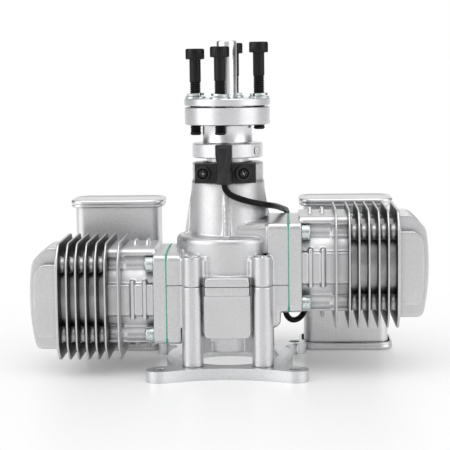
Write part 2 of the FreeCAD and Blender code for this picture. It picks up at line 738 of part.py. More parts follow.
def muffler_outline(grow, z0, z1, radius=None):
    return rounded_bar(muffler_half_x + grow, muffler_depth / 2 + grow, z0, z1,
                       (muffler_corner_r + grow) if radius is None else radius, muffler_x, muffler_mid_y)


def muffler_body(axis_z):
    low = muffler_floor_z + 1.3
    high = muffler_top_z - 1.3
    shell = muffler_outline(0, low, high).cut(muffler_outline(-muffler_wall, low - 1, high + 1))
    spacers = []
    for sz in (-1, 1):
        z = axis_z + sz * exhaust_bolt_z
        spacers.append(cyl(4.2, (muffler_x, muffler_y0, z), (muffler_x, muffler_y1, z)))
    shell = shell.multiFuse(spacers)
    for sz in (-1, 1):
        z = axis_z + sz * exhaust_bolt_z
        shell = shell.cut(cyl(case_bolt_r + 0.3, (muffler_x, muffler_y0 - 1, z), (muffler_x, muffler_y1 + 1, z)))
    shell = shell.cut(box(muffler_x - 8, muffler_x + 5, muffler_y0 - 1, muffler_y0 + 3, axis_z - 8, axis_z + 8))
    end_r = outlet_r - neck_gap + 0.05
    return shell.cut(cyl(end_r, (outlet_x, muffler_y1 - 4, outlet_z), (outlet_x, muffler_y1 + 1, outlet_z)))


def muffler_cap(top):
    """A pressed lid: a rolled rim round the shell and a slightly raised middle."""
    pan = muffler_outline(cap_lip, 0, cap_h)
    rim = [e for e in pan.Edges if e.BoundBox.ZLength < 1e-6 and e.BoundBox.ZMax > cap_h - 1e-6]
    pan = pan.makeFillet(1.1, rim)
    pan = pan.cut(muffler_outline(0.05, -1, cap_h - 1.2))
    if not top:
        pan = pan.mirror(V(0, 0, 0), Z_AXIS)
        return moved(pan, z=muffler_floor_z + cap_h)
    return moved(pan, z=muffler_top_z - cap_h)


def exhaust_gasket(axis_z):
    plate = rounded(box(muffler_x - exhaust_half_x, muffler_x + exhaust_half_x, exhaust_face_y, muffler_y0,
                        axis_z - exhaust_half_z, axis_z + exhaust_half_z), 5.0,
                    lambda e: e.BoundBox.YLength > exhaust_gasket_t / 2)
    plate = plate.cut(box(muffler_x - 8, muffler_x + 5, 0, muffler_y1, axis_z - 8, axis_z + 8))
    for sz in (-1, 1):
        z = axis_z + sz * exhaust_bolt_z
        plate = plate.cut(cyl(case_bolt_r + 0.3, (muffler_x, 0, z), (muffler_x, muffler_y1, z)))
    return plate


def muffler_screws(axis_z):
    return [socket_screw((muffler_x, muffler_y1, axis_z + sz * exhaust_bolt_z), (0, 1, 0), case_bolt_r,
                         muffler_y1 - exhaust_face_y + 7.5, case_bolt_head_r, case_bolt_head_h, 4.0)
            for sz in (-1, 1)]


def outlet_pipe():
    """The outlet, a little narrower where it is welded into the shell."""
    bore = outlet_r - outlet_wall
    neck = tube(outlet_r - neck_gap, bore, (outlet_x, muffler_y1 - 3, outlet_z),
                (outlet_x, muffler_y1 + mate_gap + 0.5, outlet_z))
    pipe = tube(outlet_r, bore, (outlet_x, muffler_y1 + mate_gap, outlet_z),
                (outlet_x, muffler_y1 + outlet_length, outlet_z))
    return neck.fuse(pipe).removeSplitter()


def spark_plug():
    """Shell, insulator and terminal of the right plug, with the cylinder's axis at height zero."""
    hex_start = along_plug(7.5)
    hex_end = along_plug(15.5)
    shell = cyl(plug_thread_r, along_plug(-5), along_plug(8)).fuse(hex_prism(plug_hex_af, hex_start, hex_end))
    shell = shell.fuse(cyl(5.6, along_plug(15), along_plug(18))).cut(cyl(3.4, along_plug(-6), along_plug(20)))
    insulator = cyl(3.35, along_plug(-5.5), along_plug(18.2)).fuse(cyl(4.4, along_plug(18.05), along_plug(33)))
    insulator = insulator.cut(cyl(1.2, along_plug(20), along_plug(34)))
    terminal = cyl(1.15, along_plug(24), along_plug(34)).fuse(cyl(3.0, along_plug(33.05), along_plug(40)))
    return shell.removeSplitter(), insulator.removeSplitter(), terminal.removeSplitter()


def right_piston():
    """Piston, ring, pin and clips of the right cylinder at the crown's outermost place."""
    r = bore_r - running_gap
    x = tdc_pin_x
    body = cyl(r, (x - piston_skirt, 0, 0), (x + piston_crown, 0, 0))
    hollow = cyl(r - piston_wall, (x - piston_skirt - 1, 0, 0), (x + piston_crown - 4.0, 0, 0))
    bosses = cyl(wrist_pin_r + 2.6, (x, 0, -r + 1.5), (x, 0, r - 1.5))
    bosses = bosses.cut(box(x - 20, x + 20, -20, 20, -rod_eye_w / 2 - 0.6, rod_eye_w / 2 + 0.6))
    body = body.cut(hollow).fuse(bosses)
    body = body.cut(cyl(wrist_pin_r + 0.02, (x, 0, -r - 1), (x, 0, r + 1)))
    groove = x + piston_crown - 4.2
    body = body.cut(tube(r + 1, r - 1.7, (groove, 0, 0), (groove + 1.3, 0, 0)))
    ring = tube(bore_r - 0.02, r - 1.6, (groove + 0.1, 0, 0), (groove + 1.2, 0, 0))
    ring = ring.cut(box(groove - 1, groove + 3, 0, r + 2, -0.15, 0.15))
    pin_end = r - 2.6
    pin = tube(wrist_pin_r, wrist_pin_r - 2.0, (x, 0, -pin_end), (x, 0, pin_end))
    clips = []
    for sz in (-1, 1):
        z0 = min(sz * (pin_end + 0.1), sz * (pin_end + 1.0))
        clip = tube(wrist_pin_r - 0.05, wrist_pin_r - 1.1, (x, 0, z0), (x, 0, z0 + 0.9))
        clips.append(clip.cut(box(x, x + 8, -1, 1, z0 - 1, z0 + 2)))
    return body.removeSplitter(), ring, pin, clips


def right_rod():
    """Connecting rod, crankpin and the two needle bearings of the right cylinder."""
    big_x = tdc_pin_x - rod_length
    half = rod_eye_w / 2
    big = cyl(big_end_r, (big_x, 0, -half), (big_x, 0, half))
    small = cyl(small_end_r, (tdc_pin_x, 0, -half), (tdc_pin_x, 0, half))
    shank = prism([(big_x + 3, -5.2, -3.2), (tdc_pin_x - 3, -4.2, -3.2), (tdc_pin_x - 3, 4.2, -3.2),
                   (big_x + 3, 5.2, -3.2)], (0, 0, 6.4))
    rod = big.multiFuse([small, shank])
    for sz in (-1, 1):
        z = sz * 1.2 if sz > 0 else -4.2
        rod = rod.cut(prism([(big_x + 10, -2.9, z), (tdc_pin_x - 9.5, -2.2, z), (tdc_pin_x - 9.5, 2.2, z),
                             (big_x + 10, 2.9, z)], (0, 0, 3)))
    big_bore = crankpin_r + needle_t
    small_bore = wrist_pin_r + needle_t
    rod = rod.cut(cyl(big_bore, (big_x, 0, -half - 1), (big_x, 0, half + 1)))
    rod = rod.cut(cyl(small_bore, (tdc_pin_x, 0, -half - 1), (tdc_pin_x, 0, half + 1)))
    pin = cyl(crankpin_r, (big_x, 0, -pin_half), (big_x, 0, pin_half))
    cages = [tube(big_bore - 0.02, crankpin_r + 0.02, (big_x, 0, -half + 0.3), (big_x, 0, half - 0.3)),
             tube(small_bore - 0.02, wrist_pin_r + running_gap, (tdc_pin_x, 0, -half + 0.3), (tdc_pin_x, 0, half - 0.3))]
    return rod.removeSplitter(), pin, cages


def bearing(journal_r, outer_r, z0, width):
    """Outer race with its two seals, and inner race, with a running gap between them."""
    split_r = journal_r + race_land
    outer = tube(outer_r, split_r + running_gap, (0, 0, z0), (0, 0, z0 + width))
    groove = tube(outer_r - 2.6, split_r - 1, (0, 0, z0 + 0.9), (0, 0, z0 + width - 0.9))
    inner = tube(split_r, journal_r + 0.01, (0, 0, z0), (0, 0, z0 + width))
    return outer.cut(groove), inner


def crankshaft():
    """Three solids: front half with the long shaft, middle web, rear half with the short shaft."""
    web_top = top_web_z + end_web_t
    step_z = main_seat_z + 0.5
    seat_top = hub_disc_z1 - 3.0
    front = revolve_z([(0, top_web_z), (web_r, top_web_z), (web_r, web_top), (10.5, web_top),
                       (10.5, main_bearing_z), (main_journal_r, main_bearing_z), (main_journal_r, step_z),
                       (nose_journal_r, step_z), (nose_journal_r, hub_foot_z), (hub_seat_r, hub_foot_z),
                       (hub_seat_r, seat_top), (stud_thread_r, seat_top), (stud_thread_r, seat_top - 12),
                       (0, seat_top - 12)])
    middle = cyl(web_r, (0, 0, mid_web_z - mid_web_t / 2), (0, 0, mid_web_z + mid_web_t / 2))
    web_low = bottom_web_z - end_web_t
    rear = revolve_z([(0, bottom_web_z), (web_r, bottom_web_z), (web_r, web_low), (10.0, web_low),
                      (10.0, rear_bearing_z1), (nose_journal_r, rear_bearing_z1), (nose_journal_r, shaft_foot_z),
                      (0, shaft_foot_z)])
    return [front, middle, rear]


def prop_stud():
    seat_top = hub_disc_z1 - 3.0
    return revolve_z([(0, seat_top - 11.5), (stud_thread_r - thread_gap, seat_top - 11.5),
                      (stud_thread_r - thread_gap, seat_top + 0.3), (stud_r - neck_gap, seat_top + 0.3),
                      (stud_r - neck_gap, washer_top_z + mate_gap), (stud_r, washer_top_z + mate_gap),
                      (stud_r, stud_top_z - 0.6), (stud_r - 0.6, stud_top_z), (0, stud_top_z)])


def prop_hub():
    c = 0.4
    f = 1.5
    profile = [(hub_seat_r + 0.03, hub_foot_z + 0.0), (11.2, hub_foot_z), (11.2, magnet_ring_z0),
               (magnet_ring_r - c, magnet_ring_z0), (magnet_ring_r, magnet_ring_z0 + c),
               (magnet_ring_r, magnet_ring_z1 - c), (magnet_ring_r - c, magnet_ring_z1),
               (hub_neck_r + f, magnet_ring_z1), (hub_neck_r + 0.4, magnet_ring_z1 + 0.4),
               (hub_neck_r, magnet_ring_z1 + f), (hub_neck_r, hub_disc_z0 - f), (hub_neck_r + 0.4, hub_disc_z0 - 0.4),
               (hub_neck_r + f, hub_disc_z0), (hub_disc_r - c, hub_disc_z0), (hub_disc_r, hub_disc_z0 + c),
               (hub_disc_r, hub_disc_z1 - c), (hub_disc_r - c, hub_disc_z1), (hub_land_r, hub_disc_z1),
               (hub_land_r, hub_top_z), (stud_r + 0.1, hub_top_z), (stud_r + 0.1, hub_disc_z1 - 2.8),
               (hub_seat_r + 0.03, hub_disc_z1 - 2.8)]
    hub = revolve_z(profile)
    for x, y in prop_bolts_at:
        hub = hub.cut(cyl(prop_bolt_r, (x, y, hub_disc_z0 - 1), (x, y, hub_top_z + 1)))
    start, end = magnet_line()
    return hub.cut(cyl(2.5, start, end)).removeSplitter()


def magnet_line():
    angle = math.radians(-31.8)
    z = (magnet_ring_z0 + magnet_ring_z1) / 2
    r0 = magnet_ring_r - 3.2
    r1 = magnet_ring_r + 1
    return (r0 * math.cos(angle), r0 * math.sin(angle), z), (r1 * math.cos(angle), r1 * math.sin(angle), z)


def timing_magnet():
    start, end = magnet_line()
    slug = cyl(2.45, start, end)
    return slug.common(cyl(magnet_ring_r - 0.05, (0, 0, magnet_ring_z0), (0, 0, magnet_ring_z1)))


def prop_washer():
    c = 0.35
    r = prop_washer_r
    plate = revolve_z([(stud_r + 0.1, hub_top_z), (r - c, hub_top_z), (r, hub_top_z + c), (r, washer_top_z - c),
                       (r - c, washer_top_z), (stud_r + 0.1, washer_top_z)])
    for x, y in prop_bolts_at:
        plate = plate.cut(cyl(prop_bolt_r + 0.25, (x, y, hub_top_z - 1), (x, y, washer_top_z + 1)))
    return plate


def prop_bolts():
    made = []
    for (x, y), z in zip(prop_bolts_at, prop_bolt_heads_z):
        thread_z = z - prop_bolt_grip
        bolt = socket_screw((x, y, z), (0, 0, 1), prop_bolt_r, prop_bolt_grip, prop_bolt_head_r,
                            prop_bolt_head_h, 5.0)
        thread = cyl(prop_bolt_r - thread_gap, (x, y, z - prop_bolt_length), (x, y, thread_z + 0.5))
        made.append(bolt.fuse(thread).removeSplitter())
    return made


def flat_washers():
    return [tube(flat_washer_r, prop_bolt_r + 0.2, (x, y, washer_top_z), (x, y, washer_top_z + flat_washer_t))
            for x, y in prop_bolts_at]


def lock_washers():
    """Split washers lying a little askew on the flat ones."""
    made = []
    base = washer_top_z + flat_washer_t
    for k, (x, y) in enumerate(prop_bolts_at):
        ring = tube(lock_washer_r, prop_bolt_r + 0.3, (0, 0, 0), (0, 0, lock_washer_t))
        ring = ring.cut(box(0, 6, -0.5, 0.5, -1, 3))
        ring.rotate(V(0, 0, 0), Z_AXIS, 200 + 37 * k)
        ring.rotate(V(0, 0, 0), Y_AXIS, (4, -3, 4, -4)[k])
        made.append(moved(ring, x, y, base - ring.BoundBox.ZMin + 0.02))
    return made


def hall_sensor():
    """One moulding: a bar on the nose ring with a square-to-round boot in front of the magnet ring."""
    bar = box(sensor_x0, sensor_x1, -sensor_y, -8, sensor_z0, sensor_z1)
    mid_y = -(boot_y - boot_half_w)
    lower = cyl(boot_half_w, (boot_x, mid_y, boot_z0), (boot_x, mid_y, sensor_z1 - 4))
    lower = lower.fuse(box(boot_x - boot_half_w, boot_x + boot_half_w, mid_y, -14, boot_z0, sensor_z1 - 4))
    square = polygon([(boot_x - boot_half_w, -boot_y + 0.3, boot_z1 - 5), (boot_x + boot_half_w, -boot_y + 0.3, boot_z1 - 5),
                      (boot_x + boot_half_w, -magnet_ring_r - 1, boot_z1 - 5),
                      (boot_x - boot_half_w, -magnet_ring_r - 1, boot_z1 - 5)])
    foot = polygon([(boot_x - 3.0, -boot_y + 0.4, sensor_z1 - 4.01), (boot_x + 3.0, -boot_y + 0.4, sensor_z1 - 4.01),
                    (boot_x + boot_half_w, -magnet_ring_r - 1, sensor_z1 - 4.01),
                    (boot_x - boot_half_w, -magnet_ring_r - 1, sensor_z1 - 4.01)])
    upper = Part.makeLoft([foot, square], True, True)
    crown = box(boot_x - boot_half_w, boot_x + boot_half_w, -boot_y + 0.3, -magnet_ring_r - 1, boot_z1 - 5, boot_z1)
    crown = rounded(crown, 0.5, lambda e: e.BoundBox.ZMin > boot_z1 - 1e-3)
    bosses = [cyl(3.3, (x, -sensor_y + 1, sensor_screw_z), (x, -sensor_y - 1.6, sensor_screw_z)) for x in sensor_screw_x]
    shape = bar.multiFuse([lower, upper, crown] + bosses)
    shape = shape.cut(cyl(nose_ring_r + 0.02, (0, 0, sensor_z0 - 5), (0, 0, nose_top_z)))
    shape = shape.cut(cyl(magnet_ring_r + 0.9, (0, 0, nose_top_z - 0.01), (0, 0, boot_z1 + 1)))
    for x in sensor_screw_x:
        shape = shape.cut(cyl(2.7, (x, -sensor_y - 2, sensor_screw_z), (x, -sensor_y, sensor_screw_z)))
        shape = shape.cut(cyl(1.6, (x, -sensor_y - 1, sensor_screw_z), (x, -8, sensor_screw_z)))
    x, y, z = cord_route[0]
    shape = shape.cut(cyl(cord_d / 2 + 0.1, (x, y, boot_z0 - 1), (x, y, z + 0.2)))
    return shape.removeSplitter()


def sensor_screws():
    made = []
    for x in sensor_screw_x:
        head = cyl(2.5, (x, -sensor_y, sensor_screw_z), (x, -sensor_y - 1.4, sensor_screw_z))
        shank = cyl(1.5, (x, -sensor_y, sensor_screw_z), (x, -sensor_screw_end(x) - 0.1, sensor_screw_z))
        cross = box(x - 1.5, x + 1.5, -sensor_y - 2, -sensor_y - 0.6, sensor_screw_z - 0.3, sensor_screw_z + 0.3)
        other = box(x - 0.3, x + 0.3, -sensor_y - 2, -sensor_y - 0.6, sensor_screw_z - 1.5, sensor_screw_z + 1.5)
        made.append(head.fuse(shank).cut(cross).cut(other).removeSplitter())
    return made


def cord_tube():
    """The sensor lead: straight runs joined by tangent arcs, each as large as its runs allow."""
    points = [V(*p) for p in cord_route]
    edges = []
    radii = []
    start = points[0]
    for k in range(1, len(points) - 1):
        into = points[k] - points[k - 1]
        away = points[k + 1] - points[k]
        turn = into.getAngle(away)
        reach = 0.45 * min(into.Length, away.Length)
        radii.append(reach / math.tan(turn / 2))
        into.normalize()
        away.normalize()
        a = points[k] - into * reach
        b = points[k] + away * reach
        bisector = away - into
        bisector.normalize()
        centre = points[k] + bisector * (radii[-1] / math.cos(turn / 2))
        middle = centre - bisector * radii[-1]
        edges.append(Part.LineSegment(start, a).toShape())
        edges.append(Part.Arc(a, middle, b).toShape())
        start = b
    edges.append(Part.LineSegment(start, points[-1]).toShape())
    path = Part.Wire(edges)
    first = points[1] - points[0]
    section = Part.Wire([Part.makeCircle(cord_d / 2, points[0], first)])
    solid = path.makePipeShell([section], True, False)
    expected = math.pi * (cord_d / 2) ** 2 * path.Length
    print("cord length %.1f volume %.1f of %.1f" % (path.Length, solid.Volume, expected))
    print("cord radii", [round(r, 1) for r in radii])
    return solid


def sensor_plug():
    """The three-pin connector that ends the lead."""
    x, y, z = cord_route[-1]
    before = V(*cord_route[-1]) - V(*cord_route[-2])
    angle = math.degrees(math.atan2(before.y, before.x))
    length, width, height = plug_size
    body = box(0, length, -width / 2, width / 2, -height / 2, height / 2)
    body = rounded(body, 0.6, lambda e: e.BoundBox.XLength > 5)
    body = body.cut(box(length - 5, length + 1, -width / 2 + 0.8, width / 2 - 0.8, -height / 2 + 0.8, height / 2 - 0.8))
    for k in (-1, 0, 1):
        body = body.fuse(box(length - 6, length - 1, k * 2.2 - 0.3, k * 2.2 + 0.3, -0.3, 0.3))
    body.rotate(V(0, 0, 0), Z_AXIS, angle)
    return moved(body.removeSplitter(), x, y, z)


def intake_frame(y0, y1):
    """A plate of the intake stack, with its two bolt holes."""
    plate = rounded(box(-intake_half_x, intake_half_x, y0, y1, intake_z - intake_half_z, intake_z + intake_half_z),
                    3.0, lambda e: e.BoundBox.YLength > 0.8 * (y1 - y0) and e.BoundBox.XLength < 1e-6)
    for x, z in carb_bolts():
        plate = plate.cut(cyl(case_bolt_r + 0.2, (x, y0 - 1, z), (x, y1 + 1, z)))
    return plate


def intake_gasket():
    return intake_frame(intake_face_y, intake_plate_y).cut(
        box(-port_half_x, port_half_x, 0, 90, intake_z - port_half_z, intake_z + port_half_z))


def reed_wedge(half_x, base_half, tip_half, y_tip, y_base):
    return prism([(-half_x, y_base, intake_z - base_half), (-half_x, y_base, intake_z + base_half),
                  (-half_x, y_tip, intake_z + tip_half), (-half_x, y_tip, intake_z - tip_half)], (2 * half_x, 0, 0))


def reed_block():
    """A flanged wedge that reaches into the port, with two windows in each slope."""
    tip_y = chamber_r + 3.4
    half = port_half_z - 1.4
    cage = reed_wedge(port_half_x - 0.7, half, 1.4, tip_y, intake_plate_y + 1)
    inside = reed_wedge(port_half_x - 2.2, half - 1.2, 0.3, tip_y + 1.6, insulator_y + 1)
    block = intake_frame(intake_plate_y, insulator_y).fuse(cage).cut(inside)
    for sign in (-1, 1):
        block = block.cut(box(min(sign * 0.8, sign * 6.2), max(sign * 0.8, sign * 6.2), tip_y + 2.5,
                              intake_plate_y - 1.5, intake_z - 12, intake_z + 12))
    return block.removeSplitter()


def reed_petals():
    """Two thin leaves lying on the slopes of the reed block."""
    tip_y = chamber_r + 3.4
    half = port_half_z - 1.4
    base_y = intake_plate_y - 0.2
    slope = (half - 1.4) / (intake_plate_y + 1 - tip_y)
    leaves = []
    for sign in (-1, 1):
        def z_at(y, lift):
            return intake_z + sign * (1.4 + slope * (y - tip_y) + lift)
        leaves.append(prism([(-7.6, tip_y + 0.3, z_at(tip_y + 0.3, 0.02)), (-7.6, base_y, z_at(base_y, 0.02)),
                             (-7.6, base_y, z_at(base_y, 0.42)), (-7.6, tip_y + 0.3, z_at(tip_y + 0.3, 0.42))],
                            (15.2, 0, 0)))
    return leaves


def intake_insulator():
    block = intake_frame(insulator_y, carb_y0)
    return block.cut(cyl(throat_r, (0, insulator_y - 1, intake_z), (0, carb_y0 + 1, intake_z)))


def carburettor_body():
    """The throat with its venturi, bolt ears and the two cross bores."""
    z0 = intake_z - carb_half_z
    z1 = intake_z + carb_half_z
    body = box(-carb_half_x, carb_half_x, carb_y0, carb_y1, z0, z1)
    body = rounded(body, 2.5, lambda e: e.BoundBox.YLength > 10)
    air_horn = cyl(11.6, (0, carb_y1 - 1, intake_z), (0, carb_y1 + 2.5, intake_z))
    body = body.fuse(air_horn)
    middle = (throttle_y + choke_y) / 2
    throat = cyl(venturi_r, (0, carb_y0 - 1, intake_z), (0, carb_y1 + 5, intake_z))
    throat = throat.fuse(cyl(throat_r, (0, carb_y0 - 1, intake_z), (0, throttle_y + butterfly_r + 0.3, intake_z)))
    throat = throat.fuse(cyl(throat_r, (0, choke_y - butterfly_r - 0.3, intake_z), (0, carb_y1 + 5, intake_z)))
    throat = throat.fuse(Part.makeCone(venturi_r, throat_r, 1.2, V(0, middle + 0.3, intake_z), Y_AXIS))
    body = body.cut(throat)
    for x, z in carb_bolts():
        body = body.cut(cyl(case_bolt_r + 0.2, (x, carb_y0 - 1, z), (x, carb_y1 + 5, z)))
    for y in (throttle_y, choke_y):
        body = body.cut(cyl(carb_shaft_r + running_gap, (-carb_half_x - 1, y, intake_z), (carb_half_x + 1, y, intake_z)))
    for y, z in needle_places():
        body = body.cut(cyl(1.5 + thread_gap, (carb_half_x - 6.2, y, z), (carb_half_x + 1, y, z)))
    return body.removeSplitter()


def needle_places():
    return [(throttle_y + 6.5, intake_z + 9.0), (throttle_y + 12.5, intake_z + 9.0)]


def carburettor_covers():
    """Pump cover above and metering cover below, each with four corner screws' heads cast flat."""
    z1 = intake_z + carb_half_z
    z0 = intake_z - carb_half_z
    made = []
    for low, high in ((z1, z1 + 3.6), (z0 - 3.6, z0)):
        lid = rounded(box(-carb_half_x + 2, carb_half_x - 2, carb_y0 + 3, carb_y1 - 3, low, high), 3.0, vertical)
        made.append(lid)
    nipple_z = z1 + 1.8
    made[0] = made[0].cut(cyl(1.6, (-carb_half_x - 1, carb_y0 + 12, nipple_z), (-carb_half_x + 7, carb_y0 + 12, nipple_z)))
    return made


def carburettor_screws():
    made = []
    for x, z in carb_bolts():
        made.append(socket_screw((x, carb_y1, z), (0, 1, 0), case_bolt_r, carb_y1 - intake_face_y + 5.0,
                                 case_bolt_head_r - 0.2, case_bolt_head_h, 4.0))
    return made


def fuel_nipple():
    z = intake_z + carb_half_z + 1.8
    y = carb_y0 + 12
    x = -carb_half_x + 2
    stem = cyl(1.55, (x + 4.5, y, z), (x - 9, y, z)).fuse(cyl(2.0, (x - 4, y, z), (x - 5.2, y, z)))
    stem = stem.fuse(cyl(2.0, (x - 7.6, y, z), (x - 8.8, y, z)))
    return stem.cut(cyl(0.8, (x + 6, y, z), (x - 11, y, z))).removeSplitter()


def mixture_screws():
    made = []
    for y, z in needle_places():
        stem = cyl(1.5, (carb_half_x - 6, y, z), (carb_half_x + 3, y, z))
        head = cyl(2.2, (carb_half_x + 3, y, z), (carb_half_x + 6.5, y, z))
        slot = box(carb_half_x + 5.5, carb_half_x + 7, y - 0.35, y + 0.35, z - 3, z + 3)
        made.append(stem.fuse(head).cut(slot).removeSplitter())
    return made


def butterfly_shaft(y, lever_side):
    """A cross shaft with its slot for the disc and a lever pinned on one end."""
    reach = carb_half_x + 5
    shaft = cyl(carb_shaft_r, (-carb_half_x - 0.8, y, intake_z), (reach, y, intake_z))
    shaft = shaft.cut(box(-butterfly_r - 0.3, butterfly_r + 0.3, y - butterfly_t / 2 - 0.01, y + butterfly_t / 2 + 0.01,
                          intake_z - 3, intake_z + 3))
    x0 = carb_half_x + 2.7
    arm = box(x0, x0 + lever_t, y - 2.2, y + 2.2, intake_z, intake_z + 12)
    arm = arm.fuse(cyl(2.9, (x0, y, intake_z + 12), (x0 + lever_t, y, intake_z + 12)))
    arm = arm.fuse(cyl(3.6, (x0, y, intake_z), (x0 + lever_t, y, intake_z)))
    arm = arm.cut(cyl(1.0, (x0 - 1, y, intake_z + 12), (x0 + lever_t + 1, y, intake_z + 12)))
    shape = shaft.fuse(arm).removeSplitter()
    return shape if lever_side > 0 else mirror_x(shape)


def butterfly_disc(y):
    return cyl(butterfly_r, (0, y - butterfly_t / 2, intake_z), (0, y + butterfly_t / 2, intake_z))


def build():
    front, rear = crankcase_halves()
    core, ring_fins, head_fins = right_cylinder_casting()
    races = [bearing(main_journal_r, main_bearing_r, main_bearing_z, main_bearing_w),
             bearing(nose_journal_r, nose_bearing_r, nose_bearing_z0, nose_bearing_w),
             bearing(nose_journal_r, rear_bearing_r, rear_bearing_z0, rear_bearing_w)]
    shell, insulator, terminal = spark_plug()
    sides = (("right", 1, right_axis_z), ("left", -1, left_axis_z))
    nodes = {
        "front_crankcase": front,
        "rear_crankcase": rear,
        "mounting_plate": mounting_plate(),
        "mounting_plate_screws": compound([plate_screw(x, y) for x, y in pillars]),
        "crankcase_bolts": compound(crankcase_bolts()),
        "main_bearing_outer_races": compound([outer for outer, _ in races]),
        "main_bearing_inner_races": compound([inner for _, inner in races]),
        "front_oil_seal": tube(seal_r - 0.02, nose_journal_r + running_gap, (0, 0, nose_bearing_z1), (0, 0, nose_top_z)),
        "hall_sensor": hall_sensor(),
        "sensor_screws": compound(sensor_screws()),
        "sensor_cord": cord_tube(),
        "sensor_plug": sensor_plug(),
        "crankshaft": compound(crankshaft()),
        "prop_hub": prop_hub(),
        "timing_magnet": timing_magnet(),
        "prop_washer": prop_washer(),
        "prop_stud": prop_stud(),
        "prop_bolts": compound(prop_bolts()),
        "flat_washers": compound(flat_washers()),
        "lock_washers": compound(lock_washers()),
        "reed_block": reed_block(),
        "reed_petals": compound(reed_petals()),
        "intake_insulator": intake_insulator(),
        "carburettor_body": carburettor_body(),
        "carburettor_covers": compound(carburettor_covers()),
        "carburettor_screws": compound(carburettor_screws()),
        "fuel_nipple": fuel_nipple(),
        "mixture_screws": compound(mixture_screws()),
        "throttle_shaft": butterfly_shaft(throttle_y, 1),
        "throttle_plate": butterfly_disc(throttle_y),
        "choke_shaft": butterfly_shaft(choke_y, -1),
        "choke_plate": butterfly_disc(choke_y),
    }
    grouped = {"gaskets": [intake_gasket()], "cylinder_fins": [], "head_fins": [], "cylinder_base_screws": [],
               "muffler_caps": [],
               "muffler_screws": [], "outlet_pipes": [], "spark_plug_shells": [], "spark_plug_insulators": [],
               "spark_plug_terminals": []}
    for name, side, axis_z in sides:
        def on_side(shape):
            return shape if side > 0 else mirror_x(shape)
        nodes[name + "_cylinder"] = moved(on_side(core), z=axis_z)
        grouped["cylinder_fins"] += [moved(on_side(f), z=axis_z) for f in ring_fins]
        grouped["head_fins"] += [moved(on_side(f), z=axis_z) for f in head_fins]
        nodes[name + "_muffler_body"] = on_side(muffler_body(axis_z))
        grouped["gaskets"] += [base_gasket(side, axis_z), on_side(exhaust_gasket(axis_z))]
        grouped["cylinder_base_screws"] += cylinder_screws(side, axis_z)
        grouped["muffler_caps"] += [on_side(muffler_cap(True)), on_side(muffler_cap(False))]
        grouped["muffler_screws"] += [on_side(s) for s in muffler_screws(axis_z)]
        grouped["outlet_pipes"].append(on_side(outlet_pipe()))
        grouped["spark_plug_shells"].append(moved(on_side(shell), z=axis_z))
        grouped["spark_plug_insulators"].append(moved(on_side(insulator), z=axis_z))
        grouped["spark_plug_terminals"].append(moved(on_side(terminal), z=axis_z))
        body, ring, pin, clips = right_piston()
        rod, crankpin, cages = right_rod()
        nodes[name + "_piston"] = moved(on_side(body), z=axis_z)
        nodes[name + "_piston_ring"] = moved(on_side(ring), z=axis_z)
        nodes[name + "_wrist_pin"] = moved(on_side(pin), z=axis_z)
        nodes[name + "_pin_circlips"] = compound([moved(on_side(c), z=axis_z) for c in clips])
        nodes[name + "_conrod"] = moved(on_side(rod), z=axis_z)
        nodes[name + "_crankpin"] = moved(on_side(crankpin), z=axis_z)
        nodes[name + "_rod_bearings"] = compound([moved(on_side(c), z=axis_z) for c in cages])
    for name, shapes in grouped.items():
        nodes[name] = compound(shapes)
    return nodes


os.makedirs("parts", exist_ok=True)
for node, shape in build().items():
    shape.exportStep("parts/" + node + ".step")
    solids = shape.Solids
    print(node, len(solids), "solids", "valid" if shape.isValid() else "INVALID",
          "volume %.1f" % sum(s.Volume for s in solids))
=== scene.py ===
import json
import math

import bmesh
import bpy
from mathutils import Matrix, Vector

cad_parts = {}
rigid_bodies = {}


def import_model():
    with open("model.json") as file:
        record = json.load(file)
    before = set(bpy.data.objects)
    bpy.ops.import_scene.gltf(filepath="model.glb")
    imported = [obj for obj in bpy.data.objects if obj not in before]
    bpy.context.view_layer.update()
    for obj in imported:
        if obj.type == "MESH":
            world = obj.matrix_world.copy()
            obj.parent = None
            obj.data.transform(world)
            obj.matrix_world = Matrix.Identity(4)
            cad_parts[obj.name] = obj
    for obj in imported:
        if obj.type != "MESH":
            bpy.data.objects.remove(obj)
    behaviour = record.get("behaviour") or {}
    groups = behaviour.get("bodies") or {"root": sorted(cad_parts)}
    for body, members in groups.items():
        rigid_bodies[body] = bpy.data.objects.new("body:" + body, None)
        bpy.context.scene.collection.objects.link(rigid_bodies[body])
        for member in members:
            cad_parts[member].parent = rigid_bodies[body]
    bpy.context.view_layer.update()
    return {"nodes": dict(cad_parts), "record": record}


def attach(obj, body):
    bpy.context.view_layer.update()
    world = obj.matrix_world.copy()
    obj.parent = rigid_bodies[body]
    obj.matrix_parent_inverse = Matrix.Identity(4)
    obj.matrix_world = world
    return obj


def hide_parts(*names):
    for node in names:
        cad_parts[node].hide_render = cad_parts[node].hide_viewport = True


for leftover in list(bpy.data.objects):
    bpy.data.objects.remove(leftover)

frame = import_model()
nodes = frame["nodes"]
mm = 0.001

# Sizes that the pieces share, in millimetres
crank_heights = {"left": 40.0, "right": 56.3}
side_sign = {"left": -1, "right": 1}
pillar_seats = [(x, y) for x in (-18.2, 18.2) for y in (-28.0, 28.0)]
pillar_screw_z = 57.8
base_screw_x = 38.5
base_screw_offset = (21.0, 18.4)
muffler_centre = (64.3, 54.5)
muffler_half = (24.9, 15.0)
muffler_corner = 6.5
muffler_bottom = 0.4
muffler_top = 86.5
muffler_back = 69.5
muffler_screw_offset = 16.5
carburettor_back = 85.7
intake_height = 35.0
propeller_bolts = ((170, 164.4), (260, 165.3), (350, 167.6), (80, 167.3))
propeller_bolt_circle = 17.15
magnet_turn = -31.8
magnet_z = 116.7
sensor_screw_x = (-12.0, 9.0)
sensor_screw_z = 105.7
tool_hole_radius = 3.7
plug_slant = 70.0
voxel_of_castings = 0.5
most_triangles = 190000

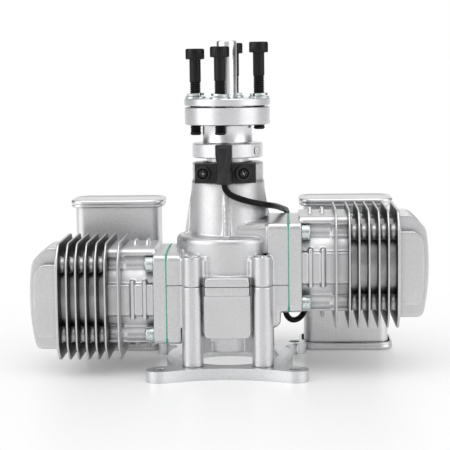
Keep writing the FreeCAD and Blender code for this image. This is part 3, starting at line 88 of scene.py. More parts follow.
# The sensor lead runs through these points, in millimetres
lead_points = (
    (-1.05, -26.2, 102.6), (-1.05, -26.2, 99.63), (0.01, -26.35, 97.0), (1.98, -26.65, 94.96),
    (6.2, -27.0, 93.1), (13.4, -26.2, 90.9), (21.2, -20.8, 89.1), (25.6, -9.0, 87.3), (28.0, 5.0, 85.0),
    (29.8, 18.0, 83.0), (31.2, 29.5, 81.2), (31.7, 33.0, 71.5), (31.4, 31.0, 60.0),
    (30.2, 28.9, 46.0), (29.5, 28.0, 33.5), (29.9, 28.05, 23.6), (33.0, 30.85, 19.1),
    (37.6, 35.0, 19.0), (41.3, 37.5, 23.3), (42.9, 37.3, 33.5), (42.4, 36.6, 45.0),
    (38.8, 37.0, 55.5), (33.9, 42.5, 61.5), (31.4, 52.0, 63.0), (31.4, 62.0, 60.5),
    (33.8, 71.5, 54.5), (40.2, 77.4, 43.5), (47.4, 79.6, 30.5), (52.4, 81.4, 18.0),
    (57.2, 84.6, 8.2), (63.0, 88.0, 3.0), (70.0, 89.8, 3.0),
)
lead_diameter = 3.2


class Graph:
    """A node tree that is filled in by short calls."""

    def __init__(self, tree):
        self.tree = tree
        tree.nodes.clear()

    def add(self, kind, inputs=None, **settings):
        node = self.tree.nodes.new(kind)
        for key, value in settings.items():
            setattr(node, key, value)
        for key, value in (inputs or {}).items():
            if isinstance(value, bpy.types.NodeSocket):
                self.tree.links.new(value, node.inputs[key])
            else:
                node.inputs[key].default_value = value
        return node

    def math(self, operation, a, b=0.0):
        return self.add("ShaderNodeMath", {0: a, 1: b}, operation=operation).outputs[0]

    def mix(self, share, a, b):
        node = self.add("ShaderNodeMix", {0: share}, data_type="RGBA")
        for key, value in ((6, a), (7, b)):
            if isinstance(value, bpy.types.NodeSocket):
                self.tree.links.new(value, node.inputs[key])
            else:
                node.inputs[key].default_value = value
        return node.outputs[2]

    def ramp(self, value, low, high, out_low=0.0, out_high=1.0):
        keys = {"Value": value, "From Min": low, "From Max": high, "To Min": out_low, "To Max": out_high}
        return self.add("ShaderNodeMapRange", keys, clamp=True).outputs[0]


def grey(level, alpha=1.0):
    return (level, level, level, alpha)


def tinted(colour, factor):
    return tuple(min(1.0, c * factor) for c in colour) + (1.0,)


# Finishes

def new_finish(name):
    finish = bpy.data.materials.new(name)
    finish.use_nodes = True
    graph = Graph(finish.node_tree)
    place = graph.add("ShaderNodeTexCoord").outputs["Object"]
    return finish, graph, place


def close_finish(graph, colour, metallic, roughness, normal=None, **plain):
    shader = graph.add("ShaderNodeBsdfPrincipled", {"Base Color": colour, "Metallic": metallic,
                                                    "Roughness": roughness, **plain})
    if normal is not None:
        graph.tree.links.new(normal, shader.inputs["Normal"])
    graph.add("ShaderNodeOutputMaterial", {"Surface": shader.outputs[0]})


def noise(graph, place, scale, detail=3.0, roughness=0.55):
    node = graph.add("ShaderNodeTexNoise", {"Vector": place, "Scale": scale, "Detail": detail,
                                            "Roughness": roughness})
    return node.outputs["Fac"]


def bump(graph, height, distance, strength=1.0, normal=None):
    inputs = {"Height": height, "Distance": distance, "Strength": strength}
    if normal is not None:
        inputs["Normal"] = normal
    return graph.add("ShaderNodeBump", inputs).outputs[0]


def rounded_edges(graph, radius):
    return graph.add("ShaderNodeBevel", {"Radius": radius}, samples=4).outputs[0]


def painted_hollow_shade(graph, shade, reach, darkest):
    """Painted shade: the colour is darkened in narrow hollows and between close parts, as far as an
    ambient-occlusion test finds them closed in.
    """
    open_share = graph.add("ShaderNodeAmbientOcclusion", {"Distance": reach}, samples=8).outputs["AO"]
    dull = graph.ramp(open_share, 0.15, 0.85, darkest, 1.0)
    return graph.add("ShaderNodeVectorMath", {0: shade, "Scale": dull}, operation="SCALE").outputs[0]


def blasted_finish(name, colour, roughness, grain, edge=0.0005, metallic=1.0, reach=0.008, darkest=0.45):
    """Cast or milled aluminium with the fine pitting that glass beads leave."""
    finish, graph, place = new_finish(name)
    cloudy = graph.ramp(noise(graph, place, 45.0), 0.3, 0.7)
    speckle = graph.ramp(noise(graph, place, 1900.0, 2.0), 0.35, 0.65)
    soft = graph.mix(cloudy, tinted(colour, 0.94), tinted(colour, 1.04))
    shade = graph.mix(speckle, tinted(colour, 0.86), soft)
    rough = graph.ramp(noise(graph, place, 320.0), 0.3, 0.7, roughness - 0.05, roughness + 0.06)
    pits = bump(graph, noise(graph, place, 1500.0, 3.0), grain * mm, 0.8, rounded_edges(graph, edge))
    swell = bump(graph, noise(graph, place, 210.0, 2.0), 0.05 * mm, 0.35, pits)
    # The base colour carries painted shade in its hollows.
    close_finish(graph, painted_hollow_shade(graph, shade, reach, darkest), metallic, rough, swell)
    return finish


def turned_finish(name, colour, roughness, groove=0.004):
    """Metal with the fine rings that a lathe leaves about the crank axis."""
    finish, graph, place = new_finish(name)
    parts = graph.add("ShaderNodeSeparateXYZ", {0: place}).outputs
    radius = graph.math("SQRT", graph.math("ADD", graph.math("MULTIPLY", parts[0], parts[0]),
                                           graph.math("MULTIPLY", parts[1], parts[1])))
    around = graph.math("MULTIPLY", graph.math("ARCTAN2", parts[1], parts[0]), 0.004)
    rings = graph.add("ShaderNodeCombineXYZ", {0: radius, 1: around, 2: parts[2]}).outputs[0]
    lines = noise(graph, rings, 2600.0, 2.0)
    shade = graph.mix(graph.ramp(lines, 0.3, 0.7), tinted(colour, 0.93), tinted(colour, 1.03))
    rough = graph.ramp(noise(graph, rings, 600.0), 0.3, 0.7, roughness - 0.04, roughness + 0.05)
    grooves = bump(graph, lines, groove * mm, 0.6, rounded_edges(graph, 0.00025))
    close_finish(graph, shade, 1.0, rough, grooves)
    return finish


def polished_finish(name, colour, roughness):
    """Ground and polished metal, even all over but for a faint change in its gloss."""
    finish, graph, place = new_finish(name)
    rough = graph.ramp(noise(graph, place, 120.0), 0.3, 0.7, roughness - 0.02, roughness + 0.03)
    close_finish(graph, colour + (1.0,), 1.0, rough)
    return finish


def plated_finish(name, colour, roughness, metallic=1.0, **plain):
    """Plated or blackened steel: small dull spots and a slight unevenness in the gloss."""
    finish, graph, place = new_finish(name)
    spots = graph.ramp(noise(graph, place, 900.0, 3.0), 0.35, 0.65)
    shade = graph.mix(spots, tinted(colour, 0.85), tinted(colour, 1.08))
    rough = graph.ramp(noise(graph, place, 500.0), 0.3, 0.7, roughness - 0.06, roughness + 0.08)
    dents = bump(graph, noise(graph, place, 1400.0), 0.008 * mm, 0.5, rounded_edges(graph, 0.0002))
    close_finish(graph, shade, metallic, rough, dents, **plain)
    return finish


def plastic_finish(name, colour, roughness, grain=0.01, scale=1600.0, **plain):
    """Moulded plastic or rubber with a fine spark-eroded grain."""
    finish, graph, place = new_finish(name)
    cloudy = graph.ramp(noise(graph, place, 120.0), 0.3, 0.7)
    shade = graph.mix(cloudy, tinted(colour, 0.85), tinted(colour, 1.12))
    rough = graph.ramp(noise(graph, place, 700.0), 0.3, 0.7, roughness - 0.05, roughness + 0.07)
    grainy = bump(graph, noise(graph, place, scale), grain * mm, 0.6, rounded_edges(graph, 0.0003))
    close_finish(graph, shade, 0.0, rough, grainy, **plain)
    return finish


def gasket_finish(name, colour):
    """Pressed fibre, with short paler strands in it."""
    finish, graph, place = new_finish(name)
    fibres = graph.ramp(noise(graph, place, 1100.0, 4.0), 0.35, 0.65)
    shade = graph.mix(fibres, tinted(colour, 0.8), tinted(colour, 1.15))
    close_finish(graph, shade, 0.0, 0.5, bump(graph, fibres, 0.01 * mm, 0.6))
    return finish


faint_gloss = {"Specular IOR Level": 0.26}
dull_gloss = {"Specular IOR Level": 0.15}
# In the aluminium finishes, reach and darkest set how far and how deep the painted shade in hollows goes;
# between the fins it goes down to 0.14 of the colour.
finishes = {
    "cast_aluminium": blasted_finish("Bead-blasted casting", (0.72, 0.72, 0.73), 0.37, 0.03,
                                     reach=0.005, darkest=0.62),
    "fin_aluminium": blasted_finish("Bead-blasted cylinder", (0.70, 0.70, 0.71), 0.42, 0.03, 0.0002,
                                    reach=0.013, darkest=0.14),
    "turned_aluminium": turned_finish("Turned aluminium", (0.78, 0.78, 0.80), 0.30),
    "plate_aluminium": blasted_finish("Milled plate", (0.78, 0.79, 0.80), 0.36, 0.02, 0.0004,
                                      reach=0.004, darkest=0.75),
    "sheet_aluminium": blasted_finish("Blasted sheet", (0.81, 0.81, 0.82), 0.36, 0.03, 0.0004,
                                      reach=0.004, darkest=0.6),
    "zinc_steel": plated_finish("Zinc plating", (0.66, 0.72, 0.72), 0.26),
    "black_steel": plated_finish("Black oxide", (0.008, 0.0075, 0.008), 0.32, 0.0, **faint_gloss),
    "ground_steel": turned_finish("Ground steel", (0.66, 0.66, 0.67), 0.16),
    "stud_steel": polished_finish("Bright stud", (0.82, 0.82, 0.83), 0.30),
    "race_steel": plated_finish("Bearing steel", (0.60, 0.60, 0.61), 0.18),
    "gasket_green": gasket_finish("Green gasket", (0.02, 0.50, 0.30)),
    "seal_rubber": plastic_finish("Seal rubber", (0.03, 0.03, 0.03), 0.62),
    "sensor_plastic": plastic_finish("Sensor moulding", (0.021, 0.021, 0.0225), 0.36, **faint_gloss),
    "cord_sheath": plastic_finish("Lead sheath", (0.004, 0.004, 0.0045), 0.26, 0.004, 2200.0, **dull_gloss),
    "plug_plastic": plastic_finish("Plug moulding", (0.012, 0.012, 0.012), 0.32, **faint_gloss),
    "magnet": plated_finish("Nickel plating", (0.74, 0.73, 0.70), 0.22),
    "insulator_ceramic": plastic_finish("Glazed ceramic", (0.86, 0.86, 0.84), 0.16, 0.002, 500.0),
    "brass": plated_finish("Turned brass", (0.78, 0.58, 0.26), 0.26),
    "petal": plastic_finish("Carbon sheet", (0.05, 0.05, 0.055), 0.30, 0.004, 2600.0),
    "insulator_block": plastic_finish("Phenolic block", (0.075, 0.060, 0.050), 0.5),
    "piston_aluminium": blasted_finish("Machined casting", (0.72, 0.72, 0.73), 0.34, 0.015, 0.0003),
}

slot_of = {part["node"]: part["material_slot"] for part in frame["record"]["subparts"]}
body_of = {name: "crank" if name.startswith("prop_") else "engine_case" for name in nodes}
for node_name, node in nodes.items():
    node.data.materials.clear()
    node.data.materials.append(finishes[slot_of[node_name]])


# Making and placing pieces

def piece_from(name, mesh, slot, smooth_angle=35.0):
    mesh.materials.clear()
    mesh.materials.append(finishes[slot])
    mesh.shade_smooth()
    mesh.set_sharp_from_angle(angle=math.radians(smooth_angle))
    piece = bpy.data.objects.new(name, mesh)
    bpy.context.scene.collection.objects.link(piece)
    return piece


def mesh_from(name, points, faces):
    """A mesh from points in millimetres, with its faces turned outwards."""
    mesh = bpy.data.meshes.new(name)
    mesh.from_pydata([tuple(c * mm for c in p) for p in points], [], faces)
    work = bmesh.new()
    work.from_mesh(mesh)
    bmesh.ops.remove_doubles(work, verts=work.verts, dist=1e-7)
    bmesh.ops.recalc_face_normals(work, faces=work.faces)
    work.to_mesh(mesh)
    work.free()
    return mesh


def ring_stack(loops):
    """Joins loops of points into a skin. A loop of one point closes that end."""
    points = []
    faces = []
    starts = []
    for loop in loops:
        starts.append((len(points), len(loop)))
        points.extend(loop)
    for (a, count_a), (b, count_b) in zip(starts, starts[1:]):
        steps = max(count_a, count_b)
        for k in range(steps):
            after = (k + 1) % steps
            if count_a == 1:
                faces.append((a, b + k, b + after))
            elif count_b == 1:
                faces.append((a + k, a + after, b))
            else:
                faces.append((a + k, a + after, b + after, b + k))
    return points, faces


def turned_mesh(name, profile, steps=48):
    """A turned shape about +Z from (radius, height) pairs, each a number or a function of the angle."""
    loops = []
    for radius, height in profile:
        if radius == 0:
            loops.append([(0.0, 0.0, height)])
            continue
        loop = []
        for k in range(steps):
            angle = 2 * math.pi * k / steps
            r = radius(angle) if callable(radius) else radius
            z = height(angle) if callable(height) else height
            loop.append((r * math.cos(angle), r * math.sin(angle), z))
        loops.append(loop)
    return mesh_from(name, *ring_stack(loops))


def hexagon(across_flats):
    def radius(angle):
        return across_flats / 2 / math.cos(angle % (math.pi / 3) - math.pi / 6)
    return radius


def thread_rings(radius, pitch, low, high):
    """Rings of a screw thread between two heights."""
    depth = 0.58 * pitch
    count = max(2, int((high - low) / pitch * 5))
    rings = []
    for k in range(count + 1):
        z = low + (high - low) * k / count

        def wavy(angle, z=z):
            fade = min(1.0, (z - low) / pitch, (high - z) / (0.7 * pitch))
            wave = abs(((z / pitch - angle / (2 * math.pi)) % 1.0) * 2 - 1)
            return radius - depth * max(0.0, fade) * wave
        rings.append((wavy, z))
    return rings


def cap_screw_mesh(name, shank, head_radius, head_height, length, plain, socket, pitch, ribs=0):
    """A socket head cap screw with its seat at the origin, the head up and the shank down."""
    steps = 2 * ribs if ribs else 48

    def knurled(angle):
        return head_radius * (1 - (0.035 if ribs and round(angle * steps / (2 * math.pi)) % 2 else 0.0))
    top = head_height
    profile = [(0, -length), (shank - 0.7, -length), (shank - 0.1, -length + 0.6)]
    profile += thread_rings(shank, pitch, -length + 0.6, -plain)
    profile += [(shank, -plain + 0.3), (shank, -0.35), (shank + 0.35, 0), (head_radius - 0.35, 0),
                (knurled, 0.35), (knurled, top - 0.65), (head_radius * 0.965, top - 0.3),
                (head_radius * 0.88, top), (lambda a: hexagon(socket)(a) + 0.15, top),
                (hexagon(socket), top - 0.2), (hexagon(socket), top * 0.45), (0, top * 0.4)]
    return turned_mesh(name, profile, steps)


def fastener_tree():
    """Puts one fastener on every seat, its axis along the seat's aim, each turned further than the last."""
    tree = bpy.data.node_groups.new("Fastener set", "GeometryNodeTree")
    add_socket = tree.interface.new_socket
    add_socket("Seats", in_out="INPUT", socket_type="NodeSocketGeometry")
    add_socket("Fastener", in_out="INPUT", socket_type="NodeSocketObject")
    add_socket("Turn Step", in_out="INPUT", socket_type="NodeSocketFloat")
    add_socket("Size", in_out="INPUT", socket_type="NodeSocketFloat").default_value = 1.0
    add_socket("Finish", in_out="INPUT", socket_type="NodeSocketMaterial")
    add_socket("Fasteners", in_out="OUTPUT", socket_type="NodeSocketGeometry")
    graph = Graph(tree)
    given = graph.add("NodeGroupInput").outputs
    aim = graph.add("GeometryNodeInputNamedAttribute", {"Name": "aim"}, data_type="FLOAT_VECTOR").outputs[0]
    upright = graph.add("FunctionNodeAlignRotationToVector", {"Vector": aim}, axis="Z").outputs[0]
    order = graph.add("GeometryNodeInputIndex").outputs[0]
    turn = graph.add("FunctionNodeAxisAngleToRotation",
                     {"Axis": (0.0, 0.0, 1.0), "Angle": graph.math("MULTIPLY", order, given["Turn Step"])})
    turned = graph.add("FunctionNodeRotateRotation", {0: upright, 1: turn.outputs[0]}, rotation_space="LOCAL")
    shape = graph.add("GeometryNodeObjectInfo", {"Object": given["Fastener"]}).outputs["Geometry"]
    placed = graph.add("GeometryNodeInstanceOnPoints",
                       {"Points": given["Seats"], "Instance": shape, "Rotation": turned.outputs[0],
                        "Scale": given["Size"]})
    real = graph.add("GeometryNodeRealizeInstances", {0: placed.outputs[0]}).outputs[0]
    painted = graph.add("GeometryNodeSetMaterial", {"Geometry": real, "Material": given["Finish"]}).outputs[0]
    graph.add("NodeGroupOutput", {0: painted})
    return tree


fastener_set = fastener_tree()


def grown(name, tree, base, values, slot, smooth_angle=35.0):
    """Runs a node tree on a mesh and keeps the plain mesh that comes out as a piece."""
    source = bpy.data.objects.new(name + "_source", base)
    bpy.context.scene.collection.objects.link(source)
    modifier = source.modifiers.new("Grow", "NODES")
    modifier.node_group = tree
    for socket in tree.interface.items_tree:
        if socket.in_out == "INPUT" and socket.name in values:
            modifier[socket.identifier] = values[socket.name]
    depsgraph = bpy.context.evaluated_depsgraph_get()
    mesh = bpy.data.meshes.new_from_object(source.evaluated_get(depsgraph), depsgraph=depsgraph)
    bpy.data.objects.remove(source)
    mesh.name = name
    return piece_from(name, mesh, slot, smooth_angle)


def fasteners(name, master, seats, slot, body, replaced=(), turn_step=1.3):
    """Places copies of one fastener. Each seat is (point, direction out of the head), in millimetres."""
    pattern = bpy.data.objects.new(name + "_pattern", master)
    bpy.context.scene.collection.objects.link(pattern)
    base = bpy.data.meshes.new(name + "_seats")
    base.from_pydata([tuple(c * mm for c in point) for point, _ in seats], [], [])
    aim = base.attributes.new("aim", "FLOAT_VECTOR", "POINT")
    for k, (_, direction) in enumerate(seats):
        aim.data[k].vector = direction
    values = {"Fastener": pattern, "Turn Step": turn_step, "Finish": finishes[slot]}
    piece = grown(name, fastener_set, base, values, slot)
    bpy.data.objects.remove(pattern)
    return settled(piece, body, slot, *replaced)


def settled(piece, body, slot, *replaced):
    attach(piece, body)
    if replaced:
        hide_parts(*replaced)
    return piece


def skin_between(loops):
    """A closed skin over loops of points, with both ends shut."""
    points, faces = ring_stack(loops)
    count = len(loops[0])
    return points, faces + [tuple(range(count)), tuple(range(len(points) - count, len(points)))]


def softened(corners, radii, steps=7):
    """A closed outline whose corners are eased by the given lengths."""
    outline = []
    for k, corner in enumerate(corners):
        here = Vector(corner)
        back = here + (Vector(corners[k - 1]) - here).normalized() * radii[k]
        ahead = here + (Vector(corners[(k + 1) % len(corners)]) - here).normalized() * radii[k]
        outline += [back.lerp(here, s / steps).lerp(here.lerp(ahead, s / steps), s / steps)
                    for s in range(steps + 1)]
    return outline


def rod_mesh(start, end, radius, steps=40):
    """A closed round bar between two points, as points and faces."""
    start = Vector(start)
    axis = (Vector(end) - start).normalized()
    side = axis.orthogonal().normalized()
    other = axis.cross(side)
    loops = []
    for middle in (start, Vector(end)):
        loops.append([tuple(middle + (side * math.cos(2 * math.pi * k / steps)
                                      + other * math.sin(2 * math.pi * k / steps)) * radius)
                      for k in range(steps)])
    return skin_between(loops)


def joined(name, parts):
    points = []
    faces = []
    for new_points, new_faces in parts:
        start = len(points)
        points += new_points
        faces += [tuple(start + i for i in face) for face in new_faces]
    return mesh_from(name, points, faces)


def carve(piece, *cutter_meshes):
    """Cuts the cutters out of the piece and keeps the plain mesh."""
    cutters = []
    for k, mesh in enumerate(cutter_meshes):
        cutter = bpy.data.objects.new(piece.name + "_cutter_%d" % k, mesh)
        bpy.context.scene.collection.objects.link(cutter)
        cut = piece.modifiers.new("Cut", "BOOLEAN")
        cut.operation = "DIFFERENCE"
        cut.solver = "EXACT"
        cut.object = cutter
        cutters.append(cutter)
    depsgraph = bpy.context.evaluated_depsgraph_get()
    carved = bpy.data.meshes.new_from_object(piece.evaluated_get(depsgraph), depsgraph=depsgraph)
    piece.modifiers.clear()
    carved.name = piece.name
    piece.data = carved
    for cutter in cutters:
        bpy.data.objects.remove(cutter)
    piece.data.shade_smooth()
    piece.data.set_sharp_from_angle(angle=math.radians(35.0))


# Camera at the photograph's place, and the sensor lead

def photograph_camera():
    azimuth, elevation, roll = (math.radians(a) for a in (2.28, 6.48, -0.66))
    right = Vector((math.cos(azimuth), math.sin(azimuth), 0))
    forward = Vector((-math.sin(azimuth) * math.cos(elevation), math.cos(azimuth) * math.cos(elevation),
                      -math.sin(elevation)))
    up = right.cross(forward)
    across = right * math.cos(roll) + up * math.sin(roll)
    upward = up * math.cos(roll) - right * math.sin(roll)
    lens = bpy.data.cameras.new("Camera")
    lens.sensor_width = 36.0
    lens.lens = 1450 / 450 * 36.0
    lens.clip_start = 0.05
    lens.clip_end = 20.0
    camera = bpy.data.objects.new("Camera", lens)
    bpy.context.scene.collection.objects.link(camera)
    axes = Matrix((across, upward, -forward)).transposed()
    camera.matrix_world = Matrix.Translation(Vector((28.7, -767.9, 163.7)) * mm) @ axes.to_4x4()
    bpy.context.scene.camera = camera


def sensor_lead():
    curve = bpy.data.curves.new("sensor_lead", "CURVE")
    curve.dimensions = "3D"
    curve.bevel_depth = lead_diameter / 2 * mm
    curve.bevel_resolution = 6
    curve.resolution_u = 10
    curve.use_fill_caps = True
    line = curve.splines.new("NURBS")
    line.points.add(len(lead_points) - 1)
    for point, place in zip(line.points, lead_points):
        point.co = (place[0] * mm, place[1] * mm, place[2] * mm, 1.0)
    line.order_u = 3
    line.use_endpoint_u = True
    curve.materials.append(finishes["cord_sheath"])
    lead = bpy.data.objects.new("sensor_lead", curve)
    bpy.context.scene.collection.objects.link(lead)
    settled(lead, "engine_case", "cord_sheath", "sensor_cord")


photograph_camera()
sensor_lead()


# Screws

propeller_screw = cap_screw_mesh("propeller_screw", 3.0, 5.0, 5.6, 40.0, 11.6, 5.0, 1.0, ribs=30)
fasteners("propeller_screws", propeller_screw,
          [((propeller_bolt_circle * math.cos(math.radians(a)),
             propeller_bolt_circle * math.sin(math.radians(a)), z), (0, 0, 1)) for a, z in propeller_bolts],
          "black_steel", "crank", ["prop_bolts"], 0.9)

short_screw = cap_screw_mesh("cylinder_screw", 2.5, 3.9, 4.7, 13.8, 4.0, 4.0, 0.8)
fasteners("cylinder_screws", short_screw,
          [((sign * base_screw_x, sy * base_screw_offset[0], crank_heights[side] + sz * base_screw_offset[1]),
            (sign, 0, 0)) for side, sign in side_sign.items() for sy in (-1, 1) for sz in (-1, 1)],
          "zinc_steel", "engine_case", ["cylinder_base_screws"])

pillar_screw = cap_screw_mesh("pillar_screw", 2.5, 4.2, 5.0, 35.8, 14.0, 4.0, 0.8)
fasteners("pillar_screws", pillar_screw, [((x, y, pillar_screw_z), (0, 0, 1)) for x, y in pillar_seats],
          "zinc_steel", "engine_case", ["crankcase_bolts"])

muffler_screw = cap_screw_mesh("muffler_screw", 2.5, 4.2, 5.0, 37.5, 29.0, 4.0, 0.8)
fasteners("muffler_bolts", muffler_screw,
          [((sign * muffler_centre[0], muffler_back, crank_heights[side] + sz * muffler_screw_offset),
            (0, 1, 0)) for side, sign in side_sign.items() for sz in (-1, 1)],
          "zinc_steel", "engine_case", ["muffler_screws"])

intake_screw = cap_screw_mesh("intake_screw", 2.5, 4.0, 5.0, 54.3, 48.0, 4.0, 0.8)
fasteners("intake_screws", intake_screw,
          [((s * 13.0, carburettor_back, intake_height - s * 9.5), (0, 1, 0)) for s in (-1, 1)],
          "zinc_steel", "engine_case", ["carburettor_screws"])


# Muffler lids, seamed round the shell like the lid of a tin

def rounded_loop(half_x, half_y, corner, centre, z, steps=10):
    corner = max(corner, 0.4)
    loop = []
    for k, (sx, sy) in enumerate(((1, 1), (-1, 1), (-1, -1), (1, -1))):
        for step in range(steps + 1):
            angle = math.pi / 2 * (k + step / steps)
            loop.append((centre[0] + sx * (half_x - corner) + corner * math.cos(angle),
                         centre[1] + sy * (half_y - corner) + corner * math.sin(angle), z))
    return loop


def muffler_lids():
    profile = ((14.0, -1.25), (0.0, -1.25), (-0.05, -4.3), (-0.6, -4.4), (-1.1, -4.1), (-1.25, -3.6),
               (-0.95, -3.1), (-1.05, -2.7), (-1.3, -2.1), (-1.3, -1.2), (-1.0, -0.5), (-0.3, -0.15),
               (0.6, -0.25), (1.5, -0.75), (2.6, -0.8), (5.0, -0.55), (9.0, -0.25), (14.0, -0.1))
    lids = []
    for sign in (-1, 1):
        centre = (sign * muffler_centre[0], muffler_centre[1])
        for top in (True, False):
            loops = []
            for inset, height in profile:
                z = muffler_top + height if top else muffler_bottom - height
                loops.append(rounded_loop(muffler_half[0] - inset, muffler_half[1] - inset,
                                          muffler_corner - inset, centre, z))
            lids.append(skin_between(loops))
    piece = piece_from("muffler_lids", joined("muffler_lids", lids), "sheet_aluminium", 50.0)
    return settled(piece, "engine_case", "sheet_aluminium", "muffler_caps")


muffler_lids()


def muffler_shells():
    wall = 1.3
    shells = []
    for sign in (-1, 1):
        centre = (sign * muffler_centre[0], muffler_centre[1])
        loops = []
        for z in (muffler_bottom + wall, 20.0, 43.0, 66.0, muffler_top - wall):
            loops.append(rounded_loop(muffler_half[0] - wall, muffler_half[1] - wall,
                                      muffler_corner - wall, centre, z))
        shells.append(skin_between(loops))
    piece = piece_from("muffler_shells", joined("muffler_shells", shells), "sheet_aluminium", 50.0)
    return settled(piece, "engine_case", "sheet_aluminium", "left_muffler_body", "right_muffler_body")


muffler_shells()


def magnet_window():
    """The ignition magnet in its hole in the ring, with a wider dark rod round it."""
    turn = math.radians(magnet_turn)
    out = Vector((math.cos(turn), math.sin(turn), 0))
    middle = Vector((0, 0, magnet_z))
    for name, radius, reach, slot in (("magnet_gap", 2.75, 18.52, "sensor_plastic"),
                                      ("magnet", 2.35, 18.68, "magnet")):
        points, faces = rod_mesh(middle + out * 15.6, middle + out * reach, radius, 48)
        settled(piece_from(name, mesh_from(name, points, faces), slot), "crank", slot, "timing_magnet")


magnet_window()


# Turned pieces of the propeller drive, as smooth as a lathe leaves them

def turned_piece(name, profile, slot, body, replaced, steps=160):
    return settled(piece_from(name, turned_mesh(name, profile, steps), slot, 28.0), body, slot, *replaced)


hub_profile = ((7.4, 110.5), (11.2, 110.5), (11.2, 113.0), (18.2, 113.0), (18.6, 113.4), (18.6, 120.0),
               (18.2, 120.4), (14.6, 120.4), (13.9, 120.55), (13.35, 120.95), (13.1, 121.7), (13.1, 128.9),
               (13.35, 129.65), (13.9, 130.05), (14.6, 130.2), (22.1, 130.2), (22.5, 130.6), (22.5, 139.0),
               (22.1, 139.4), (12.0, 139.4), (12.0, 140.0), (7.4, 140.0), (7.4, 110.5))
washer_profile = ((5.4, 140.15), (22.25, 140.15), (22.6, 140.5), (22.6, 143.55), (22.25, 143.9), (5.4, 143.9),
                  (5.4, 140.15))
stud_profile = ((0, 124.9), (3.95, 124.9), (3.95, 136.7), (5.0, 136.7), (5.0, 145.4), (5.25, 145.45),
                (5.25, 173.2), (5.1, 173.6), (4.7, 173.95), (4.3, 174.0), (0, 174.0))
turned_piece("propeller_stud", stud_profile, "stud_steel", "crank", ["prop_stud"], 64)
turned_piece("propeller_hub", hub_profile, "turned_aluminium", "crank", ["prop_hub"])
turned_piece("propeller_washer", washer_profile, "turned_aluminium", "crank", ["prop_washer"])


# Castings, with the soft inner corners that they come out of the mould with

def merged_copy(node_name):
    mesh = nodes[node_name].data.copy()
    work = bmesh.new()
    work.from_mesh(mesh)
    bmesh.ops.remove_doubles(work, verts=work.verts, dist=2e-6)
    return mesh, work


def smooth_copy(node_name, slot, body, angle=30.0):
    """The node's own shape with its round faces shaded smooth."""
    mesh, work = merged_copy(node_name)
    work.to_mesh(mesh)
    work.free()
    mesh.name = node_name + "_finished"
    return settled(piece_from(mesh.name, mesh, slot, angle), body, slot, node_name)


def cast_skin(name, node_name, voxel, passes, extras=(), slot=None, cuts=()):
    """The casting's solid with every edge and inner corner rounded as the mould leaves them."""
    mesh, work = merged_copy(node_name)
    for points, faces in extras:
        made = [work.verts.new([c * mm for c in point]) for point in points]
        new_faces = [work.faces.new([made[i] for i in face]) for face in faces]
        bmesh.ops.recalc_face_normals(work, faces=new_faces)
    work.to_mesh(mesh)
    work.free()
    rough = bpy.data.objects.new(name + "_rough", mesh)
    bpy.context.scene.collection.objects.link(rough)
    skin = rough.modifiers.new("Skin", "REMESH")
    skin.mode = "VOXEL"
    skin.voxel_size = voxel * mm
    cutter = None
    if cuts:
        cutter = bpy.data.objects.new(name + "_cuts", joined(name + "_cuts", cuts))
        bpy.context.scene.collection.objects.link(cutter)
        cut = rough.modifiers.new("Cut", "BOOLEAN")
        cut.operation = "DIFFERENCE"
        cut.solver = "MANIFOLD"
        cut.object = cutter
    soften = rough.modifiers.new("Soften", "SMOOTH")
    soften.factor = 0.5
    soften.iterations = passes
    depsgraph = bpy.context.evaluated_depsgraph_get()
    triangles = 2 * len(rough.evaluated_get(depsgraph).data.polygons)
    if triangles > most_triangles:
        thin = rough.modifiers.new("Thin", "DECIMATE")
        thin.ratio = most_triangles / triangles
        depsgraph = bpy.context.evaluated_depsgraph_get()
    result = bpy.data.meshes.new_from_object(rough.evaluated_get(depsgraph), depsgraph=depsgraph)
    bpy.data.objects.remove(rough)
    if cutter:
        bpy.data.objects.remove(cutter)
    slot = slot or slot_of[node_name]
    return settled(piece_from(name, result, slot, 60.0), "engine_case", slot, node_name)


def rib_fillets():
    """The flared feet of the cone's four ribs, narrowing towards the nose."""
    made = []
    for quarter in range(4):
        turn = math.pi / 2 * quarter
        loops = []
        for share in (0.0, 0.15, 0.3, 0.5, 0.75, 1.0):
            z = 71.5 + 25.5 * share
            cone = 20.7 - 1.4 * share - 0.35
            wide = 1.1 + 2.9 * (1 - share) ** 1.6
            proud = 0.35 + 1.6 * (1 - share) ** 1.2
            crest = cone + proud + 0.9 * (1 - share)
            outline = ((-wide, cone), (-wide * 0.45, cone + proud * 0.45), (-0.75, crest), (0.75, crest),
                       (wide * 0.45, cone + proud * 0.45), (wide, cone), (wide, cone - 3), (-wide, cone - 3))
            loops.append([(x * math.cos(turn) + y * math.sin(turn),
                           x * math.sin(turn) - y * math.cos(turn), z) for x, y in outline])
        made.append(skin_between(loops))
    return made


def pillar_lobes(low, high):
    """Half-round columns between the pillars and the drum."""
    made = []
    for x in (-13.2, 13.2):
        for y in (-25.4, 25.4):
            made.append(rod_mesh((x, y, low), (x, y, high), 2.3, 24))
            made.append(rod_mesh((1.66 * x, y, low), (1.66 * x, y, high), 2.0, 24))
    return made


def panel_band(low, high, low_corner, high_corner):
    """The raised band across the front panel, with its outer corners rounded."""
    half = 11.5
    outline = softened(((-half, low), (half, low), (half, high), (-half, high)),
                       (low_corner, low_corner, high_corner, high_corner))
    loops = []
    for y, s in ((-28.0, 1.0), (-32.1, 1.0), (-32.5, 0.97)):
        lowered = s < 1 and low_corner < high_corner
        loops.append([(x * s, y, (z - low) * s + low if lowered else z) for x, z in outline])
    return skin_between(loops)


panel_half = 12.0
panel_low = 20.8
panel_corner = 2.6


